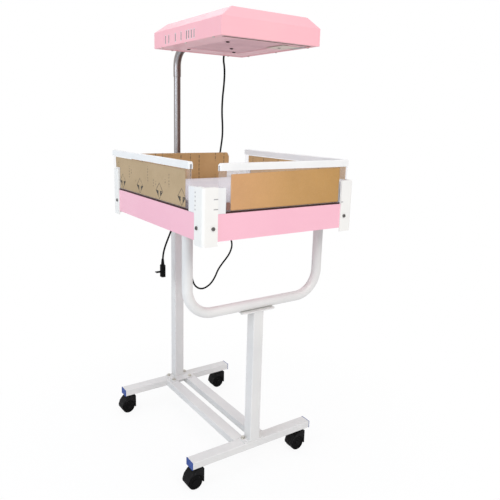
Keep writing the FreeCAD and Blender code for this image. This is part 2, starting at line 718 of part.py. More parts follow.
frame_under = frame_top - d.FrameThick
leg_top = frame_under - d.LegPlateThick


def u_run(radius):
    """The U as one solid round, of a given radius."""
    low = d.TubeLow + d.TubeBend
    inner = leg_x - d.TubeBend
    shapes = [cylinder(radius, 2 * inner, (-inner, front_bar, d.TubeLow), ALONG_X)]
    for side in (-1, 1):
        shapes.append(cylinder(radius, leg_top - low, (side * leg_x, front_bar, low)))
        shapes.append(bend(d.TubeBend, radius, (side * inner, front_bar, low), V(side, 0, 0), V(0, 0, -1)))
    return fuse(*shapes)


leg_plates = []
u_drills = []
for side in (-1, 1):
    leg = (side * leg_x, front_bar)
    leg_plates.append(block(2 * d.TubeRad, d.LegPlateLong, d.LegPlateThick, leg, leg_top))
    u_drills.append(through(hole_rad, side * d.SaddleBolt, front_bar, d.TubeLow - d.TubeRad - 1, 6))
    for end in (-1, 1):
        bolt_y = front_bar + end * d.LegBoltReach
        u_drills.append(through(hole_rad, leg[0], bolt_y, leg_top - 2, d.LegPlateThick + 4))
        frame_bolt((leg[0], bolt_y, leg_top), UNDER, d.LegPlateThick + d.FrameThick - d.Rest, nut=False)
u_hollow = cut(u_run(d.TubeRad), u_run(d.TubeRad - d.TubeWall))
part(cut(fuse(u_hollow, *leg_plates), *u_drills), "u_tube")


# Spacer sleeves between the bracket and the tray

sleeves = []
for side in (-1, 1):
    seat = (side * bracket_bolt, skirt_back, bracket_height)
    length = bracket_front - skirt_back
    sleeves.append(cut(cylinder(d.SleeveRad, length, seat, ALONG_Y), cylinder(hole_rad, length, seat, ALONG_Y)))
part(group(*sleeves), "bracket_spacers")


# Deck frame inside the tray

middle = (Size.of(0), d.TrayMid)
flange_x = d.SkirtX - 2 * d.TrayWall - 2 * d.FrameGap
flange_y = d.SkirtY - 2 * d.TrayWall
open_x = 2 * (leg_x - d.TubeRad - d.RimRoom - d.FrameThick)
open_y = flange_y - 2 * d.FrameFlange
frame_low = frame_top - d.FrameHigh
flange = rounded_block(flange_x, flange_y, d.FrameThick, skirt_round, middle, frame_under)
rim = block(open_x + 2 * d.FrameThick, open_y + 2 * d.FrameThick, d.FrameHigh, middle, frame_low)
backing_front = skirt_back - d.TrayWall - d.PlateThick
backing_low = frame_under - d.BackingHigh
backing = box(d.BackingX, d.PlateThick, d.BackingHigh, (-d.BackingX / 2, backing_front, backing_low))
deck_drills = [block(open_x, open_y, d.FrameHigh + 2, middle, frame_low - 1)]
for side in (-1, 1):
    for end in (-1, 1):
        bolt_y = front_bar + end * d.LegBoltReach
        deck_drills.append(through(hole_rad, side * leg_x, bolt_y, frame_under - 1, d.FrameThick + 2))
    seat = (side * bracket_bolt, backing_front - 1, bracket_height)
    deck_drills.append(cylinder(hole_rad, d.PlateThick + 2, seat, ALONG_Y))
part(cut(fuse(flange, rim, backing), *deck_drills), "deck_frame")


# Tray: an inverted pan with a deck and a skirt

bolt_height = d.DeckTop - d.BoltDrop
post_hole = d.BoltRad + d.HoleFit
pan = rounded_block(d.SkirtX, d.SkirtY, d.SkirtHigh, skirt_round, middle, skirt_under)
pan_x = d.SkirtX - 2 * d.TrayWall
pan_y = d.SkirtY - 2 * d.TrayWall
hollow = rounded_block(pan_x, pan_y, d.SkirtHigh - d.TrayWall, skirt_round - d.TrayWall, middle, skirt_under)
tray_drills = []
bolt_x = post_outer_x - d.BoltInset
bolt_reach = post_outer_y - d.BoltInset
for side in (-1, 1):
    seat = (side * bolt_x, d.TrayMid - d.SkirtY / 2 - 5, bolt_height)
    tray_drills.append(cylinder(post_hole, d.SkirtY + 10, seat, ALONG_Y))
    seat = (-d.SkirtX / 2 - 5, d.TrayMid + side * bolt_reach, bolt_height)
    tray_drills.append(cylinder(post_hole, d.SkirtX + 10, seat, ALONG_X))
    seat = (side * bracket_bolt, skirt_back - 5, bracket_height)
    tray_drills.append(cylinder(hole_rad, 10, seat, ALONG_Y))
part(cut(cut(pan, hollow), *tray_drills), "tray_shell")


# Corner posts with the channels that hold the panels

def corner_post(name, side_x, side_y, turn):
    """One post in its own frame: its outer corner on the origin, its flanges along X and Y."""
    post = doc.addObject("PartDesign::Body", "Post")
    angle = sketch_on(post, "XY_Plane")
    wall, wide = d.PostWall, d.PostFlange
    polygon(angle, [(0, 0), (wide, 0), (wide, wall), (wall, wall), (wall, wide), (0, wide)])
    height = d.SkirtHigh + d.PostDrop + d.PostRise
    outer = pad(post, angle, height)
    inner_round = d.PostRound - d.PostWall
    at_corner = lambda edge: is_upright(edge) and edge.Vertexes[0].Point.x < 0.1 and edge.Vertexes[0].Point.y < 0.1
    outer = round_edges(post, outer, d.PostRound, at_corner)
    in_corner = lambda edge: is_upright(edge) and abs(edge.Vertexes[0].Point.x - wall.value) < 0.1 and \
        abs(edge.Vertexes[0].Point.y - wall.value) < 0.1
    round_edges(post, outer, inner_round, in_corner)
    above = d.SkirtHigh + d.PostDrop + d.Rest
    ribs = sketch_on(post, "XY_Plane", above)
    near, far = d.PostWall + d.ChannelGap, core
    polygon(ribs, [(wall, wall), (far, wall), (far, near), (wide, near), (wide, far),
                   (far, far), (far, wide), (near, wide), (near, far), (wall, far)])
    pad(post, ribs, height - above)
    for role in ("XZ_Plane", "YZ_Plane"):
        hole = sketch_on(post, role)
        circle(hole, d.BoltInset, d.SkirtHigh + d.PostDrop - d.BoltDrop, post_hole)
        pocket(post, hole, 4 * d.PostWall, both_ways=True)
    at = (side_x * post_outer_x, d.TrayMid + side_y * post_outer_y, skirt_under - d.PostDrop)
    part(place(post, at, FreeCAD.Rotation(V(0, 0, 1), turn)), name)


POSTS = ("post_front_left", "post_front_right", "post_rear_right", "post_rear_left")
for name, (side_x, side_y, turn) in zip(POSTS, CORNERS):
    corner_post(name, side_x, side_y, turn)


def post_bolt(at, rotation):
    """A button head bolt with its nut inside the skirt."""
    grip = d.PostWall + d.TrayWall
    head = cylinder(d.BoltHeadRad, d.BoltHeadHigh, (0, 0, 0))
    end = grip + d.NutHigh + d.ThreadEnd
    shank = cylinder(d.BoltRad, end, (0, 0, -end))
    nut = hexagon(d.NutRad, d.NutHigh, (0, 0, -grip - d.NutHigh))
    socket = hexagon(d.SocketRad, d.SocketDeep + 1, (0, 0, d.BoltHeadHigh - d.SocketDeep))
    return place(cut(fuse(head, shank, nut), socket), at, rotation)


post_bolts = []
for side_x in (-1, 1):
    for side_y in (-1, 1):
        face_y = d.TrayMid + side_y * post_outer_y
        to_y = FreeCAD.Rotation(V(1, 0, 0), -90 * side_y)
        post_bolts.append(post_bolt((side_x * bolt_x, face_y, bolt_height), to_y))
        to_x = FreeCAD.Rotation(V(0, 1, 0), 90 * side_x)
        at = (side_x * post_outer_x, d.TrayMid + side_y * bolt_reach, bolt_height)
        post_bolts.append(post_bolt(at, to_x))
part(group(*post_bolts), "post_bolts")


# Mattress

mattress_x = 2 * (post_outer_x - core - d.MattressGap)
mattress_y = 2 * (post_outer_y - core - d.MattressGap)
pallet = rounded_block(mattress_x, mattress_y, d.MattressHigh, d.MattressRound, middle, d.DeckTop + d.Rest)
part(pallet, "mattress")


# Panels: each has a clear sheet, end blocks that ride in the posts, and a paper; three have a rail

rail_top = d.DeckTop + d.PanelRise
rail_low = rail_top - d.RailHigh
sheet_low = d.DeckTop + d.SealHigh + d.Rest
sheet_top = rail_low + d.RailGroove - d.Rest
block_low = d.DeckTop + d.Rest
block_top = post_top - d.BlockDrop
notch_high = post_top + d.NotchGap
paper_low = sheet_low + d.PaperLowGap
paper_top = rail_low - d.PaperTopGap
paper_notch = block_top + 1
block_thick = d.ChannelGap - 2 * d.TongueFit
TURNED = FreeCAD.Rotation(V(0, 0, 1), 90)
plane_x = post_outer_x - panel_inset
plane_y = post_outer_y - panel_inset
channel_x = post_outer_x - core - d.EndFit
channel_y = post_outer_y - core - d.EndFit
flange_end_x = post_outer_x - d.PostFlange
flange_end_y = post_outer_y - d.PostFlange
front_block_end = flange_end_x - d.FrontReach
side_block_end = flange_end_y - d.SideReach
front_half = post_outer_x - d.FrontEnds
back_half = front_block_end + d.BackGrip
side_half = post_outer_y - d.SideEnds
side_foot = channel_y - d.SideFootGap


def flat_body(points, thickness, corner=None):
    """A thin upright plate whose outline is drawn in its own XZ plane."""
    body = doc.addObject("PartDesign::Body", "Plate")
    outline = sketch_on(body, "XZ_Plane")
    polygon(outline, points)
    base = pad(body, outline, thickness, both_ways=True)
    if corner is not None:
        top = max(Size.of(z).value for _, z in points)
        round_edges(body, base, corner,
                    lambda edge: runs_along(edge, V(0, 1, 0)) and edge.Vertexes[0].Point.z > top - 0.1)
    return body


def rail_body(length):
    """A grooved rail, its length along its own X, its lower face on its own XY plane."""
    body = doc.addObject("PartDesign::Body", "Rail")
    outline = sketch_on(body, "XZ_Plane")
    half = length / 2
    polygon(outline, [(-half, 0), (half, 0), (half, d.RailHigh), (-half, d.RailHigh)])
    base = pad(body, outline, d.RailWide, both_ways=True)
    high = d.RailHigh.value - 0.1
    base = round_edges(body, base, d.RailRound,
                       lambda edge: runs_along(edge, V(0, 1, 0)) and edge.Vertexes[0].Point.z > high)
    base = round_edges(body, base, d.RailSoft,
                       lambda edge: runs_along(edge, V(1, 0, 0)) and edge.Vertexes[0].Point.z > high)
    groove = sketch_on(body, "YZ_Plane")
    room = d.SheetThick / 2 + d.SheetFit
    polygon(groove, [(-room, -1), (room, -1), (room, d.RailGroove), (-room, d.RailGroove)])
    pocket(body, groove, 2 * length, both_ways=True)
    return body


def end_block(near, far, slot_end):
    """A block between two places along the panel, slotted from its near end for the sheet."""
    low_end = near if near.value < far.value else far
    long = far - near if near.value < far.value else near - far
    solid = box(long, block_thick, block_top - block_low, (low_end, -block_thick / 2, block_low))
    reach = slot_end - near if near.value < far.value else near - slot_end
    start = near - 1 if near.value < far.value else slot_end
    slot_wide = d.SheetThick + 2 * d.SheetFit
    slot = box(reach + 1, slot_wide, block_top - sheet_low + 2, (start, -slot_wide / 2, sheet_low - d.Rest))
    return cut(solid, slot)


def at_panel(thing, where, rotation):
    """Moves what is drawn along X to the plane of its panel."""
    return place(thing, (where[0], where[1], 0), rotation)


def left_sheet(front, back):
    """Sheet of the left panel, cut out at its lower back corner to pass over the post."""
    return flat_body([(front, sheet_low), (side_foot, sheet_low), (side_foot, notch_high), (back, notch_high),
                      (back, sheet_top), (front, sheet_top)], d.SheetThick)


front_at = (Size.of(0), d.TrayMid - plane_y)
back_at = (Size.of(0), d.TrayMid + plane_y)
left_at = (-plane_x, d.TrayMid)
right_at = (plane_x, d.TrayMid)
paper_off = (d.SheetThick + d.PaperThick) / 2

# Front panel, pushed to the right in its channels
left_end, right_end = d.FrontShift - front_half, d.FrontShift + front_half
front_outline = [(left_end, sheet_low), (right_end, sheet_low), (right_end, sheet_top), (left_end, sheet_top)]
part(at_panel(flat_body(front_outline, d.SheetThick), front_at, UPRIGHT), "front_sheet")
part(place(rail_body(2 * front_half), (d.FrontShift, front_at[1], rail_low)), "front_rail")
front_blocks = group(end_block(-front_block_end, -channel_x, left_end - d.Rest),
                     end_block(flange_end_x - d.ShortReach, channel_x, right_end + d.Rest))
part(at_panel(front_blocks, front_at, UPRIGHT), "front_blocks")
low, high = left_end + d.PaperFrontEnd, right_end - d.PaperEnd
front_paper = flat_body([(low, paper_low), (high, paper_low), (high, paper_top), (low, paper_top)], d.PaperThick)
part(place(front_paper, (0, front_at[1] - paper_off, 0)), "front_paper")

# Back panel, without a rail and with rounded upper corners
back_top = d.DeckTop + d.BackRise
back_outline = [(-back_half, sheet_low), (back_half, sheet_low), (back_half, back_top), (-back_half, back_top)]
part(at_panel(flat_body(back_outline, d.SheetThick, d.BackRound), back_at, UPRIGHT), "back_sheet")
slot = back_half + d.Rest
back_blocks = group(end_block(-front_block_end, -channel_x, -slot), end_block(front_block_end, channel_x, slot))
part(at_panel(back_blocks, back_at, UPRIGHT), "back_blocks")
edge = back_half - 1
paper_end = front_block_end - 1
back_paper = flat_body([(-paper_end, paper_low), (paper_end, paper_low), (paper_end, paper_notch),
                        (edge, paper_notch), (edge, back_top - 1), (-edge, back_top - 1),
                        (-edge, paper_notch), (-paper_end, paper_notch)], d.PaperThick, d.BackRound)
part(place(back_paper, (0, back_at[1] - paper_off, 0)), "back_paper")

# Left panel, pushed to the back so that its rail passes over the rear post
front, back = d.LeftShift - side_half, d.LeftShift + side_half
part(at_panel(left_sheet(front, back), left_at, TURNED), "left_sheet")
part(place(rail_body(2 * side_half), (left_at[0], left_at[1] + d.LeftShift, rail_low), TURNED), "left_rail")
left_blocks = group(end_block(-side_block_end, -channel_y, front - d.Rest),
                    end_block(flange_end_y - d.ShortReach, channel_y, side_foot + d.Rest))
part(at_panel(left_blocks, left_at, TURNED), "left_blocks")
low, high, step = front + d.PaperSideEnd, back - d.PaperSideEnd, flange_end_y - d.ShortReach - 1
left_paper = flat_body([(low, paper_low), (step, paper_low), (step, notch_high + 1), (high, notch_high + 1),
                        (high, paper_top), (low, paper_top)], d.PaperThick)
part(place(left_paper, (left_at[0] - paper_off, left_at[1], 0), TURNED), "left_paper")

# Right panel, pushed to the front
front, back = -d.RightShift - side_half, side_half - d.RightShift
right_outline = [(front, sheet_low), (back, sheet_low), (back, sheet_top), (front, sheet_top)]
part(at_panel(flat_body(right_outline, d.SheetThick), right_at, TURNED), "right_sheet")
part(place(rail_body(2 * side_half), (right_at[0], right_at[1] - d.RightShift, rail_low), TURNED), "right_rail")
right_blocks = group(end_block(-side_block_end, -channel_y, front - d.Rest),
                     end_block(side_block_end, channel_y, back + d.Rest))
part(at_panel(right_blocks, right_at, TURNED), "right_blocks")
low, high, step = front + 2, back - d.PaperSideEnd, side_block_end - 2
right_paper = flat_body([(-step, paper_low), (step, paper_low), (step, paper_notch), (high, paper_notch),
                         (high, paper_top), (low, paper_top), (low, paper_notch), (-step, paper_notch)],
                        d.PaperThick)
part(place(right_paper, (right_at[0] - paper_off, right_at[1], 0), TURNED), "right_paper")

# Seal strips on the deck, under the panels
seal_x = 2 * (front_block_end - 1)
seal_y = 2 * (side_block_end - 1)
seals = [block(seal_x, d.SealWide, d.SealHigh, where, d.DeckTop) for where in (front_at, back_at)]
seals += [block(d.SealWide, seal_y, d.SealHigh, where, d.DeckTop) for where in (left_at, right_at)]
part(group(*seals), "deck_seals")


# Column, its guide and its collar

column = (0, rear_bar)
column_hole = d.ColumnRad + d.RunFit
collar_low = rear_top
collar_base_top = collar_low + d.CollarBase
collar_top = collar_base_top + d.CollarHigh
plug_side = d.UprightSide - 2 * d.UprightWall - 2 * d.PlugFit
knob_height = collar_base_top + d.KnobRise
boss_end = d.CollarRad + d.KnobBossLong
at_column = (Size.of(0), rear_bar)
collar = fuse(
    block(plug_side, plug_side, d.CollarPlug, at_column, collar_low - d.CollarPlug),
    rounded_block(d.UprightSide, d.UprightSide, d.CollarBase, d.UprightRound, at_column, collar_low),
    cylinder(d.CollarRad, d.CollarHigh, (0, rear_bar, collar_base_top)),
    cylinder(d.KnobBoss, boss_end, (0, rear_bar, knob_height), ALONG_X))
collar_bore = cylinder(column_hole, collar_top - collar_low + d.CollarPlug + 2, (0, rear_bar, collar_low - d.CollarPlug - 1))
knob_bore = cylinder(d.KnobShaft + d.RunFit, boss_end + 1, (0, rear_bar, knob_height), ALONG_X)
part(cut(collar, collar_bore, knob_bore), "column_collar")

knob_start = d.ColumnRad + d.KnobTip
knob_face = boss_end + 2 * d.Rest
knob_shapes = [cylinder(d.KnobShaft, knob_face - knob_start + 1, (knob_start, rear_bar, knob_height), ALONG_X),
               cylinder(d.KnobRad - 4, d.KnobThick, (knob_face, rear_bar, knob_height), ALONG_X)]
for lobe in range(5):
    angle = math.radians(72 * lobe + 18)
    reach = d.KnobRad - 4.5
    at = (knob_face, rear_bar + reach * math.cos(angle), knob_height + reach * math.sin(angle))
    knob_shapes.append(cylinder(4.5, d.KnobThick, at, ALONG_X))
part(fuse(*knob_shapes), "clamp_knob")

column_long = column_top - d.ColumnFoot
chrome = cut(cylinder(d.ColumnRad, column_long, (0, rear_bar, d.ColumnFoot)),
             cylinder(d.ColumnRad - d.ColumnWall, column_long, (0, rear_bar, d.ColumnFoot)))
part(chrome, "column_tube")
guide_side = d.UprightSide - 2 * d.UprightWall - 2 * d.GuideFit
guide = block(guide_side, guide_side, d.GuideHigh, at_column, d.ColumnFoot)
guide_bore = cylinder(d.ColumnRad + d.ArmFit, d.GuideHigh + 2, (0, rear_bar, d.ColumnFoot - 1))
part(cut(guide, guide_bore), "column_guide")


# Arm that bends forward from the column into the lamp head

def arm_run(radius):
    """The arm as one solid round, of a given radius."""
    end = lamp_back - d.ArmInside
    start = rear_bar - d.ArmBend
    return fuse(cylinder(radius, arm_bend_low - arm_low, (0, rear_bar, arm_low)),
                bend(d.ArmBend, radius, (0, start, arm_bend_low), V(0, 1, 0), V(0, 0, 1)),
                cylinder(radius, start - end, (0, end, arm_height), ALONG_Y))


part(cut(arm_run(arm_rad), arm_run(d.ColumnRad + d.ArmFit)), "lamp_arm")


# Lamp head: a sheet metal housing with a bevelled roof, open below

def hipped(x, y, in_x, in_y, height, low):
    """A block whose four sides lean in, over the lamp head's middle."""
    thing = doc.addObject("Part::Wedge", "Roof")
    half_x, half_y = x / 2, y / 2
    sizes = {"Xmin": -half_x, "Xmax": half_x, "Zmin": -half_y, "Zmax": half_y, "Ymin": 0, "Ymax": height,
             "X2min": in_x - half_x, "X2max": half_x - in_x, "Z2min": in_y - half_y, "Z2max": half_y - in_y}
    for prop, size in sizes.items():
        bind(thing, prop, size)
    return place(thing, (0, lamp_mid, low), FreeCAD.Rotation(V(1, 0, 0), 90))


at_lamp = (Size.of(0), lamp_mid)
wall = d.LampWall
inside_x = d.LampX - 2 * wall
inside_y = d.LampY - 2 * wall
outside = fuse(block(d.LampX, d.LampY, d.LampSide, at_lamp, d.LampUnder),
               hipped(d.LampX, d.LampY, d.RoofInX, d.RoofInY, d.LampRoof, lamp_top))
inside = fuse(block(inside_x, inside_y, d.LampSide - wall, at_lamp, d.LampUnder + wall),
              hipped(inside_x, inside_y, d.RoofInX + wall, d.RoofInY, d.LampRoof - wall, lamp_top))
below = block(d.LampX - 2 * d.LampLip, d.LampY - 2 * d.LampLip, 2 * wall, at_lamp, d.LampUnder - wall / 2)
vents = []
for place_y in VENTS:
    at = (-d.LampX / 2 - 1, lamp_mid + place_y - d.VentWide / 2, d.LampUnder + d.VentMid - d.VentHigh / 2)
    vents.append(box(d.LampX + 2, d.VentWide, d.VentHigh, at))
gland_height = d.LampUnder + d.GlandRise
gland_neck = d.GlandRad - 2
rear_wall = lamp_back - wall
wall_drills = [cylinder(arm_rad + d.HoleFit, 4 * wall, (0, rear_wall - wall, arm_height), ALONG_Y),
               cylinder(gland_neck + d.HoleFit, 4 * wall, (d.GlandMid, rear_wall - wall, gland_height), ALONG_Y)]
for side in (-1, 1):
    at = (side * d.ClampScrew, rear_wall - wall, arm_height)
    wall_drills.append(cylinder(d.ScrewRad + d.HoleFit, 4 * wall, at, ALONG_Y))

# Screws that hold the base panel on the lips
panel_low = d.LampUnder + wall
panel_top = panel_low + wall
screw_places = [(side * (d.LampX / 2 - d.ScrewInset), lamp_mid + row) for side in (-1, 1)
                for row in SCREW_ROWS]
screw_places += [(side * d.ScrewRear, lamp_back - d.ScrewInset) for side in (-1, 1)]
lip_drills = [through(d.ScrewRad + d.HoleFit, x, y, d.LampUnder - 1, 2 * wall + 2) for x, y in screw_places]
housing = cut(cut(outside, inside), below, *vents, *wall_drills, *lip_drills)
part(housing, "lamp_housing")

screws = []
for x, y in screw_places:
    head = cylinder(d.ScrewHead, d.ScrewHeadHigh, (x, y, d.LampUnder - d.ScrewHeadHigh))
    screws.append(fuse(head, cylinder(d.ScrewRad, d.ScrewLong, (x, y, d.LampUnder))))
for side in (-1, 1):
    x = side * d.ClampScrew
    head = cylinder(d.ScrewHead, d.ScrewHeadHigh, (x, lamp_back, arm_height), ALONG_Y)
    shank = cylinder(d.ScrewRad, 2 * d.ScrewLong, (x, lamp_back - 2 * d.ScrewLong, arm_height), ALONG_Y)
    screws.append(fuse(head, shank))
part(group(*screws), "lamp_screws")

# Base panel with the light window
window_mid = lamp_mid - d.WindowShift
at_window = (Size.of(0), window_mid)
panel_front = lamp_front + d.LampLip + d.LipSlit
panel_back = lamp_back - wall - d.PlugFit
panel_x = inside_x - 2 * d.PlugFit
panel_y = panel_back - panel_front
base_panel = block(panel_x, panel_y, wall, (Size.of(0), panel_front + panel_y / 2), panel_low)
hole_x = window_x - 2 * d.WindowLap
hole_y = window_y - 2 * d.WindowLap
window_hole = block(hole_x, hole_y, 3 * wall, at_window, panel_low - wall)
panel_drills = [through(d.ScrewRad + d.HoleFit, x, y, panel_low - 1, wall + 2) for x, y in screw_places]
part(cut(base_panel, window_hole, *panel_drills), "lamp_base_panel")
part(block(window_x, window_y, d.PaneThick, at_window, panel_top), "light_window")

# Lamp tubes in their holders, under a reflector
tube_high = panel_top + d.LampRise
holder_off = window_y / 2 + d.Rest
lamp_x = [(index - 1.5) * d.LampGap for index in range(4)]
tube_end = holder_off + d.SocketLong - 2 * d.Rest
tubes = [cylinder(d.LampRad, 2 * tube_end, (x, window_mid - tube_end, tube_high), ALONG_Y) for x in lamp_x]
part(group(*tubes), "lamp_tubes")
holders = []
for side in (-1, 1):
    middle_y = window_mid + side * (holder_off + d.HolderThick / 2)
    bar = block(window_x - 2 * d.HolderIn, d.HolderThick, d.HolderHigh, (Size.of(0), middle_y), panel_top)
    inner_y = window_mid + side * holder_off
    start = inner_y - 1 if side > 0 else inner_y - d.SocketLong
    sockets = [cylinder(d.LampRad + d.HoleFit, d.SocketLong + 1, (x, start, tube_high), ALONG_Y) for x in lamp_x]
    holders.append(cut(bar, *sockets))
part(group(*holders), "tube_holders")
reflector_x = window_x + 2 * d.ReflectorOut
reflector_y = window_y - 2 * d.Rest
sheet_rest = d.ReflectorThick
part(cut(block(reflector_x, reflector_y, d.ReflectorTop, at_window, panel_top),
         block(reflector_x - 2 * sheet_rest, reflector_y + 2, d.ReflectorTop - sheet_rest, at_window, panel_top)),
     "reflector")

# Driver box, arm clamp and cord gland
driver_mid = (reflector_x / 2 + d.DriverGap + d.DriverX / 2, lamp_mid + d.DriverShift)
driver_foot = block(d.DriverX, d.DriverY + 2 * d.DriverFoot, d.DriverSheet, driver_mid, panel_top)
part(fuse(block(d.DriverX, d.DriverY, d.DriverHigh, driver_mid, panel_top), driver_foot), "lamp_driver")

clamp_y = rear_wall - d.ClampY
clamp_low = arm_height - d.ClampHigh / 2
clamp = box(d.ClampX, d.ClampY, d.ClampHigh, (-d.ClampX / 2, clamp_y, clamp_low))
clamp_drills = [cylinder(arm_rad + d.ArmFit, d.ClampY + 2, (0, clamp_y - 1, arm_height), ALONG_Y)]
for side in (-1, 1):
    at = (side * d.ClampScrew, clamp_y - 1, arm_height)
    clamp_drills.append(cylinder(d.ScrewRad + d.HoleFit, d.ClampY + 2, at, ALONG_Y))
part(cut(clamp, *clamp_drills), "arm_clamp")

gland_at = (d.GlandMid, lamp_back, gland_height)
neck_end = rear_wall - d.GlandLock - d.GlandEnd
neck_long = lamp_back - neck_end
gland = fuse(hexagon(d.GlandRad + 1, d.GlandNut, gland_at, ALONG_Y),
             cone(d.GlandRad, d.GlandTip, d.GlandLong, gland_at, ALONG_Y),
             cylinder(gland_neck, neck_long + 1, (d.GlandMid, neck_end, gland_height), ALONG_Y),
             hexagon(d.GlandRad + 1, d.GlandLock, (d.GlandMid, rear_wall - d.GlandLock, gland_height), ALONG_Y))
bore_at = (d.GlandMid, neck_end - 1, gland_height)
gland_bore = cylinder(d.CordRad + d.HoleFit, neck_long + d.GlandLong + 2, bore_at, ALONG_Y)
part(cut(gland, gland_bore), "cord_gland")


# Casters: a stem in the bar, a hood that swivels on it and a pair of wheels on one axle

def caster_stem(x, y):
    low = hood_top - d.StemDeep
    bar_inside = bar_under + d.BarWall
    return fuse(cylinder(d.StemRad, bar_inside + d.StemRise - low, (x, y, low)),
                cylinder(d.StemFlange, bar_under - hood_top - d.Rest, (x, y, hood_top + d.Rest)),
                hexagon(d.StemNutRad, 6, (x, y, bar_inside)))


def caster_hood(name, x, y):
    """Hood over the wheels, drawn with the swivel axis on its own Z axis."""
    body = doc.addObject("PartDesign::Body", "Hood")
    outline = sketch_on(body, "XZ_Plane")
    top, low = hood_top, d.HoodLow
    back = d.WheelTrail + d.WheelRad + d.HoodRoom + d.HoodShell
    polygon(outline, [(d.HoodFront, low), (d.HoodFront, top), (-d.HoodCrown, top),
                      (-d.HoodSlope, top - d.HoodSlopeDrop), (-d.HoodHip, top - d.HoodHipDrop),
                      (-back, top - d.HoodBackDrop), (1 - back, low)])
    base = pad(body, outline, d.HoodWide, both_ways=True)
    base = round_edges(body, base, d.HoodSoft,
                       lambda edge: runs_along(edge, V(0, 1, 0)) and edge.Vertexes[0].Point.z > low.value + 1)
    room = d.WheelRad + d.HoodRoom
    for start in (-d.HoodWeb / 2, d.HoodWide / 2 + 1):
        space = sketch_on(body, "XZ_Plane", start)
        circle(space, -d.WheelTrail, d.WheelRad, room)
        pocket(body, space, (d.HoodWide - d.HoodWeb) / 2 + 1)
    axle = sketch_on(body, "XZ_Plane")
    circle(axle, -d.WheelTrail, d.WheelRad, d.AxleRad + d.RunFit)
    pocket(body, axle, d.HoodWide, both_ways=True)
    stem = sketch_on(body, "XY_Plane", hood_top + 1)
    circle(stem, 0, 0, d.StemRad + d.RunFit)
    pocket(body, stem, d.StemDeep + 2)
    return part(place(body, (x, y, 0)), name)


def caster_wheels(name, x, y):
    """Two wheels on one axle, turned round their own Y axis."""
    body = doc.addObject("PartDesign::Body", "Wheels")
    profile = sketch_on(body, "XY_Plane")
    rad, axle = d.WheelRad, d.AxleRad
    near = d.HoodWeb / 2 + d.HubRoom
    far = near + d.WheelWide
    half = [(0, far + 0.5), (axle + 5, far + 0.5), (axle + 6, far - 2), (rad - 6, far - 2), (rad - 5, far),
            (rad - 1.5, far), (rad, far - 2), (rad, near + 2.5), (rad - 1.5, near + 0.5), (axle, near)]
    mirrored = [(radius, -Size.of(offset)) for radius, offset in reversed(half)]
    polygon(profile, half + mirrored)
    turned = body.newObject("PartDesign::Revolution", "Turned")
    turned.Profile = profile
    turned.ReferenceAxis = (profile, ["V_Axis"])
    turned.Angle = 360
    body.Tip = turned
    return part(place(body, (x - d.WheelTrail, y, rad)), name)


stems = []
for word, y in (("front", front_bar), ("rear", rear_bar)):
    for hand, side in (("left", -1), ("right", 1)):
        x = side * caster_mid
        stems.append(caster_stem(x, y))
        caster_hood(f"caster_{word}_{hand}", x, y)
        caster_wheels(f"wheels_{word}_{hand}", x, y)
part(group(*stems), "caster_stems")
part(group(*frame_bolts), "frame_bolts")


# Supply cord: straight runs joined by arcs that touch them

def rounded_path(points):
    edges = []
    here = points[0]
    tightest = 1e9
    for before, corner, after in zip(points, points[1:], points[2:]):
        come, leave = corner - before, after - corner
        reach = 0.45 * min(come.Length, leave.Length)
        half_turn = come.getAngle(leave) / 2
        come.normalize()
        leave.normalize()
        radius = reach / math.tan(half_turn)
        tightest = min(tightest, radius)
        towards = (leave - come).normalize()
        start, end = corner - come * reach, corner + leave * reach
        middle_point = corner + towards * (radius / math.cos(half_turn) - radius)
        edges.append(Part.LineSegment(here, start).toShape())
        edges.append(Part.Arc(start, middle_point, end).toShape())
        here = end
    edges.append(Part.LineSegment(here, points[-1]).toShape())
    return Part.Wire(edges), tightest


cord_points = [V(*point) for point in CORD]
path = doc.addObject("Part::Feature", "CordPath")
path.Shape, tightest = rounded_path(cord_points)
section = doc.addObject("Part::Circle", "CordSection")
bind(section, "Radius", d.CordRad)
section.Placement = FreeCAD.Placement(cord_points[0], FreeCAD.Rotation(V(0, 0, 1), cord_points[1] - cord_points[0]))
cord = doc.addObject("Part::Sweep", "Cord")
cord.Sections = [section]
cord.Spine = (path, [])
cord.Solid = True
cord.Frenet = False
part(cord, "supply_cord")

# Plug: a block with a tapered relief above it and two pins to the left
cord_end = cord_points[-1]
plug_x, plug_y, plug_top = [Size.of(value) for value in cord_end]
plug_side_x = plug_x - d.PlugWide / 2
plug_body = rounded_block(d.PlugWide, d.PlugDeep, d.PlugLong, d.PlugRound, (plug_x, plug_y), plug_top - d.PlugLong)
relief = cut(cone(d.ReliefRad, d.ReliefTip, d.ReliefLong, tuple(cord_end)),
             cylinder(d.CordRad + d.HoleFit, d.ReliefLong + 1, tuple(cord_end)))
pins = []
for side in (-1, 1):
    at = (plug_side_x - d.PinLong, plug_y + side * d.PinSpace / 2, plug_top - d.PinDrop)
    pins.append(cylinder(d.PinRad, d.PinLong + 2, at, ALONG_X))
part(fuse(plug_body, relief, *pins), "mains_plug")


